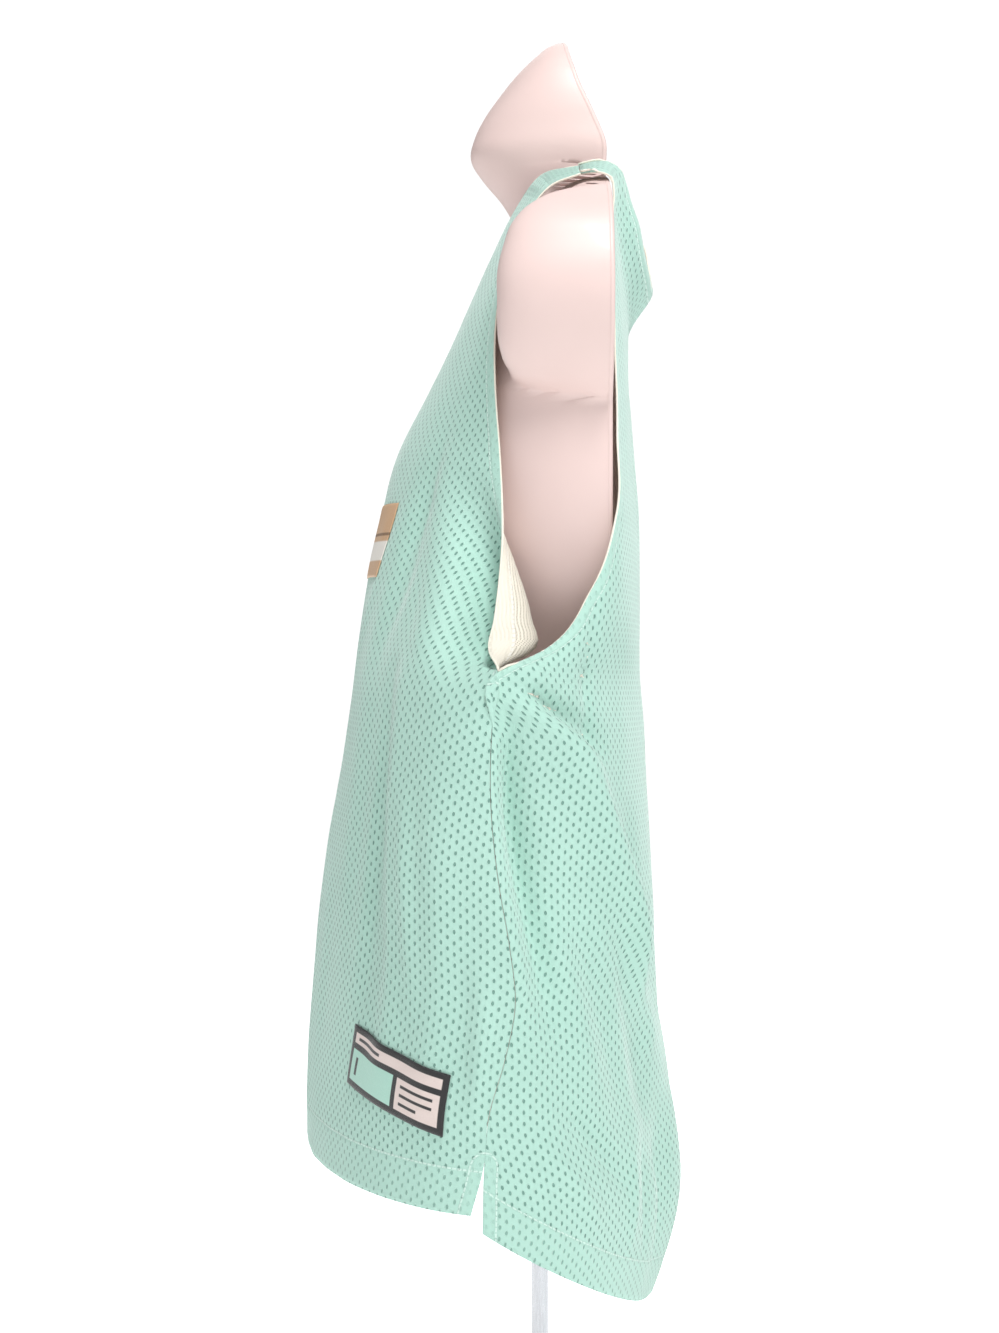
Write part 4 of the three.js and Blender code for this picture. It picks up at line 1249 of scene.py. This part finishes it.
    def patch(self, surface: PanelSurface, name: str,
              where: tuple[float, float, float, float, float], lift: float, thick: float,
              finish: object, slot: str, node: str) -> None:
        """A flat piece that lies on the cloth: a rectangle of it, moved out by its lift.

        Args:
            surface: the panel it lies on.
            name: the piece's name.
            where: its middle across and up, its width, its height and its tilt.
            lift: from the cloth to its under side.
            thick: its thickness.
            finish: its finish.
            slot: not used.
            node: the solid it stands for.
        """
        middle, height, wide, tall, tilt = where
        s, t = np.meshgrid(np.linspace(-1, 1, 61), np.linspace(-1, 1, 29))
        up = height + t * tall / 2 + tilt * s
        across = middle + s * wide / 2
        points = surface.place(across / surface.half_width(up), up)
        outs = grid_normals(points, 4)
        rim = np.minimum(1.0, np.minimum(1 - np.abs(s), 1 - np.abs(t)) * 12 + 0.35)[..., None]
        piece = wall_piece(name, points + outs * (lift + thick * rim), points + outs * lift)
        face = np.stack([(s + 1) / 2, (t + 1) / 2], -1).reshape(-1, 2)
        set_map(piece, "face", np.concatenate([face] * 2))
        self.shop.hand_over(piece, finish, slot, node)


@dataclass
class TorsoForm:
    """The moulded shell, its rim, and the plate that closes its hip."""

    shop: Workshop
    wall: float = 3.0
    rim_radius: float = 2.1
    bottom: float = 258.0
    top: float = 1010.0
    plate_thick: float = 5.0
    seam_gap: float = 0.3

    def build(self) -> None:
        """Builds the shell, the rims and the plate."""
        outer = self.face(230, 120)
        outs = grid_normals(outer, 1)
        outs[:, 0, 1] = outs[:, -1, 1] = 0.0
        outs[0, :, 2] = 0.0
        outs = unit(outs)
        shell = wall_piece("form_shell", outer, outer - outs * self.wall, 50.0)
        self.shop.hand_over(shell, FORM_PLASTIC, "form_plastic", "torso_form")
        for name, column in (("form_left_rim", -1), ("form_right_rim", 0)):
            path = outer[::2, column] - outs[::2, column] * self.wall * 0.55
            path[:, 1] -= 0.2
            points, faces = tube_along(path, np.array(self.rim_radius), 12)
            self.shop.hand_over(new_mesh(name, points, faces), FORM_PLASTIC, "form_plastic")
        self.hip_plate()

    def face(self, rows: int, columns: int) -> Array:
        """The shell's outer face: at each height, columns as the sine of an angle across."""
        t = np.linspace(0, 1, rows + 1)
        z = self.bottom + (self.top - self.bottom) * (0.45 * t + 0.55 * (1 - (1 - t) ** 1.9))
        share = np.sin(np.linspace(-np.pi / 2, np.pi / 2, columns + 1))
        height, across = np.meshgrid(z, share, indexing="ij")
        x = across * form_half(height)
        return np.stack([x, form_front(x, height), height], -1)

    def hip_plate(self) -> None:
        """The plate: the lowest section's outline drawn in towards its middle, in rings."""
        x = float(form_half(np.array(self.bottom))) * np.sin(np.linspace(-np.pi / 2, np.pi / 2, 90))
        front = np.stack([x, form_front(x, np.full_like(x, self.bottom))], -1)
        line = np.stack([x[-2:0:-1], np.full(len(x) - 2, FORM_BACK)], -1)
        outline = np.concatenate([front, line])
        middle = np.array([0.0, -15.0])
        top = self.bottom - self.seam_gap
        low = top - self.plate_thick
        rings = [(0.02, low), (0.5, low), (0.985, low), (0.997, low + 0.6), (1.0, low + 1.5),
                 (1.0, top - 1.5), (0.997, top - 0.6), (0.985, top), (0.5, top), (0.02, top)]
        points = np.concatenate([np.column_stack([middle + (outline - middle) * share,
                                                  np.full(len(outline), z)]) for share, z in rings])
        count, size = len(rings), len(outline)
        j, i = np.meshgrid(np.arange(count - 1), np.arange(size), indexing="ij")
        a, b = j * size + i, j * size + (i + 1) % size
        walls = np.stack([a, b, b + size, a + size], -1).reshape(-1, 4)
        caps = []
        for start, order in ((0, -1), ((count - 1) * size, 1)):
            ring = start + np.arange(size)
            half = size // 2
            caps.append(np.stack([ring[:half - 1], ring[1:half], ring[::-1][1:half],
                                  ring[::-1][:half - 1]], -1)[:, ::order])
        piece = new_mesh("form_hip_plate", points, np.concatenate([walls, *caps]), 40.0)
        self.shop.hand_over(piece, FORM_PLASTIC, "form_plastic", "hip_plate")


@dataclass
class Stand:
    """The base plate, the pole and its two collars."""

    shop: Workshop
    base_radius: float = 140.0
    base_thick: float = 12.0
    pole_radius: float = 6.0
    pole_top: float = 252.4
    seam_gap: float = 0.3

    def build(self) -> None:
        """Turns the four round pieces."""
        r, b, p, top, gap = (self.base_radius, self.base_thick, self.pole_radius, self.pole_top,
                             self.seam_gap)
        inner = p + gap
        self.turned("stand_base", [
            (0, 0), (r - 3, 0), (r - 1.2, 0.6), (r - 0.2, 1.8), (r, 3), (r - 0.2, 5.5), (r - 1, 8),
            (r - 3, 9.4), (r - 6, 10), (60, b - 0.05), (40, b), (0, b)], BASE_ENAMEL, "base_enamel",
            "base_plate")
        self.turned("stand_pole", [
            (0, b + gap), (p - 0.6, b + gap), (p, b + 1), (p, top - 0.7), (p - 0.6, top),
            (0, top)], STAND_STEEL, "stand_steel", "pole")
        self.turned("stand_foot_collar", [
            (inner, b + gap), (23.4, b + gap), (24, b + 1), (23.6, b + 5), (22, b + 8),
            (17, b + 11), (13.6, b + 14), (12.6, b + 20), (12.2, b + 33), (11.6, b + 34),
            (inner, b + 34)], STAND_STEEL, "stand_steel", "foot_collar")
        self.turned("stand_hip_collar", [
            (inner, top - 36), (12.5, top - 36), (13, top - 35.4), (13.8, top - 14),
            (15, top - 9.5), (20, top - 6.6), (25.4, top - 4.6), (26, top - 4), (26, top - 0.5),
            (25.5, top), (inner, top)], STAND_STEEL, "stand_steel", "hip_collar")

    def turned(self, name: str, profile: list[tuple[float, float]], finish: object, slot: str,
               node: str) -> None:
        """Turns a profile and hands the piece over."""
        self.shop.hand_over(lathe_piece(name, profile), finish, slot, node)


@dataclass
class Studio:
    """The floor, the light and the camera."""

    shop: Workshop
    lens: float = 65.2
    camera_place: tuple[float, float, float] = (1.75, -0.0293, 0.56)

    def build(self) -> None:
        """Sets the studio up."""
        self.floor()
        self.sky()
        self.lamp("key_softbox", (1.0, 0.3, 2.6), (0.0, 0.0, 0.4), 0.6, 44.0)
        self.lamp("fill_softbox", (2.4, 0.7, 0.9), (0.0, 0.0, 0.4), 1.2, 7.0)
        self.lamp("back_softbox", (-2.2, 0.2, 2.2), (0.0, 0.0, 0.6), 1.8, 12.0)
        data = bpy.data.cameras.new("camera")
        data.lens, data.sensor_width, data.sensor_fit = self.lens, 36.0, "AUTO"
        camera = bpy.data.objects.new("camera", data)
        camera.location = self.camera_place
        camera.rotation_euler = (math.pi / 2, 0.0, math.pi / 2)
        bpy.context.scene.collection.objects.link(camera)
        bpy.context.scene.camera = camera

    def floor(self) -> None:
        """A wide pale floor, just under the base plate."""
        side = 30000.0
        corners = np.array([[-side, -side, -0.5], [side, -side, -0.5], [side, side, -0.5],
                            [-side, side, -0.5]])
        floor = new_mesh("studio_floor", corners, np.array([[0, 1, 2, 3]]))
        self.shop.dress(floor, Moulding("studio_floor", paint(250, 250, 250), paint(249, 249, 249),
                                        0.9, grain=300.0, relief=0.0, glow=0.82))

    @staticmethod
    def sky() -> None:
        """An even white surround."""
        world = bpy.data.worlds.new("studio")
        bpy.context.scene.world = world
        world.use_nodes = True
        sky = Shader(world.node_tree)
        background = world.node_tree.nodes["Background"]
        background.inputs["Color"].default_value = (1.0, 1.0, 1.0, 1.0)
        seen = sky.node("ShaderNodeLightPath").outputs["Is Camera Ray"]
        sky.put(background.inputs["Strength"], sky.step(seen, 0.0, 1.0, 0.27, 1.05))
        bpy.context.scene.view_settings.view_transform = "Standard"

    @staticmethod
    def lamp(name: str, place: tuple[float, float, float], target: tuple[float, float, float],
             size: float, power: float) -> None:
        """A square soft light that faces a target."""
        data = bpy.data.lights.new(name, "AREA")
        data.shape, data.size, data.energy = "SQUARE", size, power
        lamp = bpy.data.objects.new(name, data)
        lamp.location = place
        aim = np.array(target) - np.array(place)
        flat = math.hypot(aim[0], aim[1])
        lamp.rotation_euler = (math.atan2(flat, -aim[2]), 0.0, math.atan2(-aim[0], aim[1]))
        bpy.context.scene.collection.objects.link(lamp)


def main() -> None:
    """Loads the frame, builds the sub-assemblies in order and sets up the studio."""
    logging.basicConfig(level=logging.INFO, format="%(name)s: %(message)s")
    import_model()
    shop = Workshop()
    Jersey(shop).build()
    TorsoForm(shop).build()
    Stand(shop).build()
    Studio(shop).build()


if __name__ == "__main__":
    main()
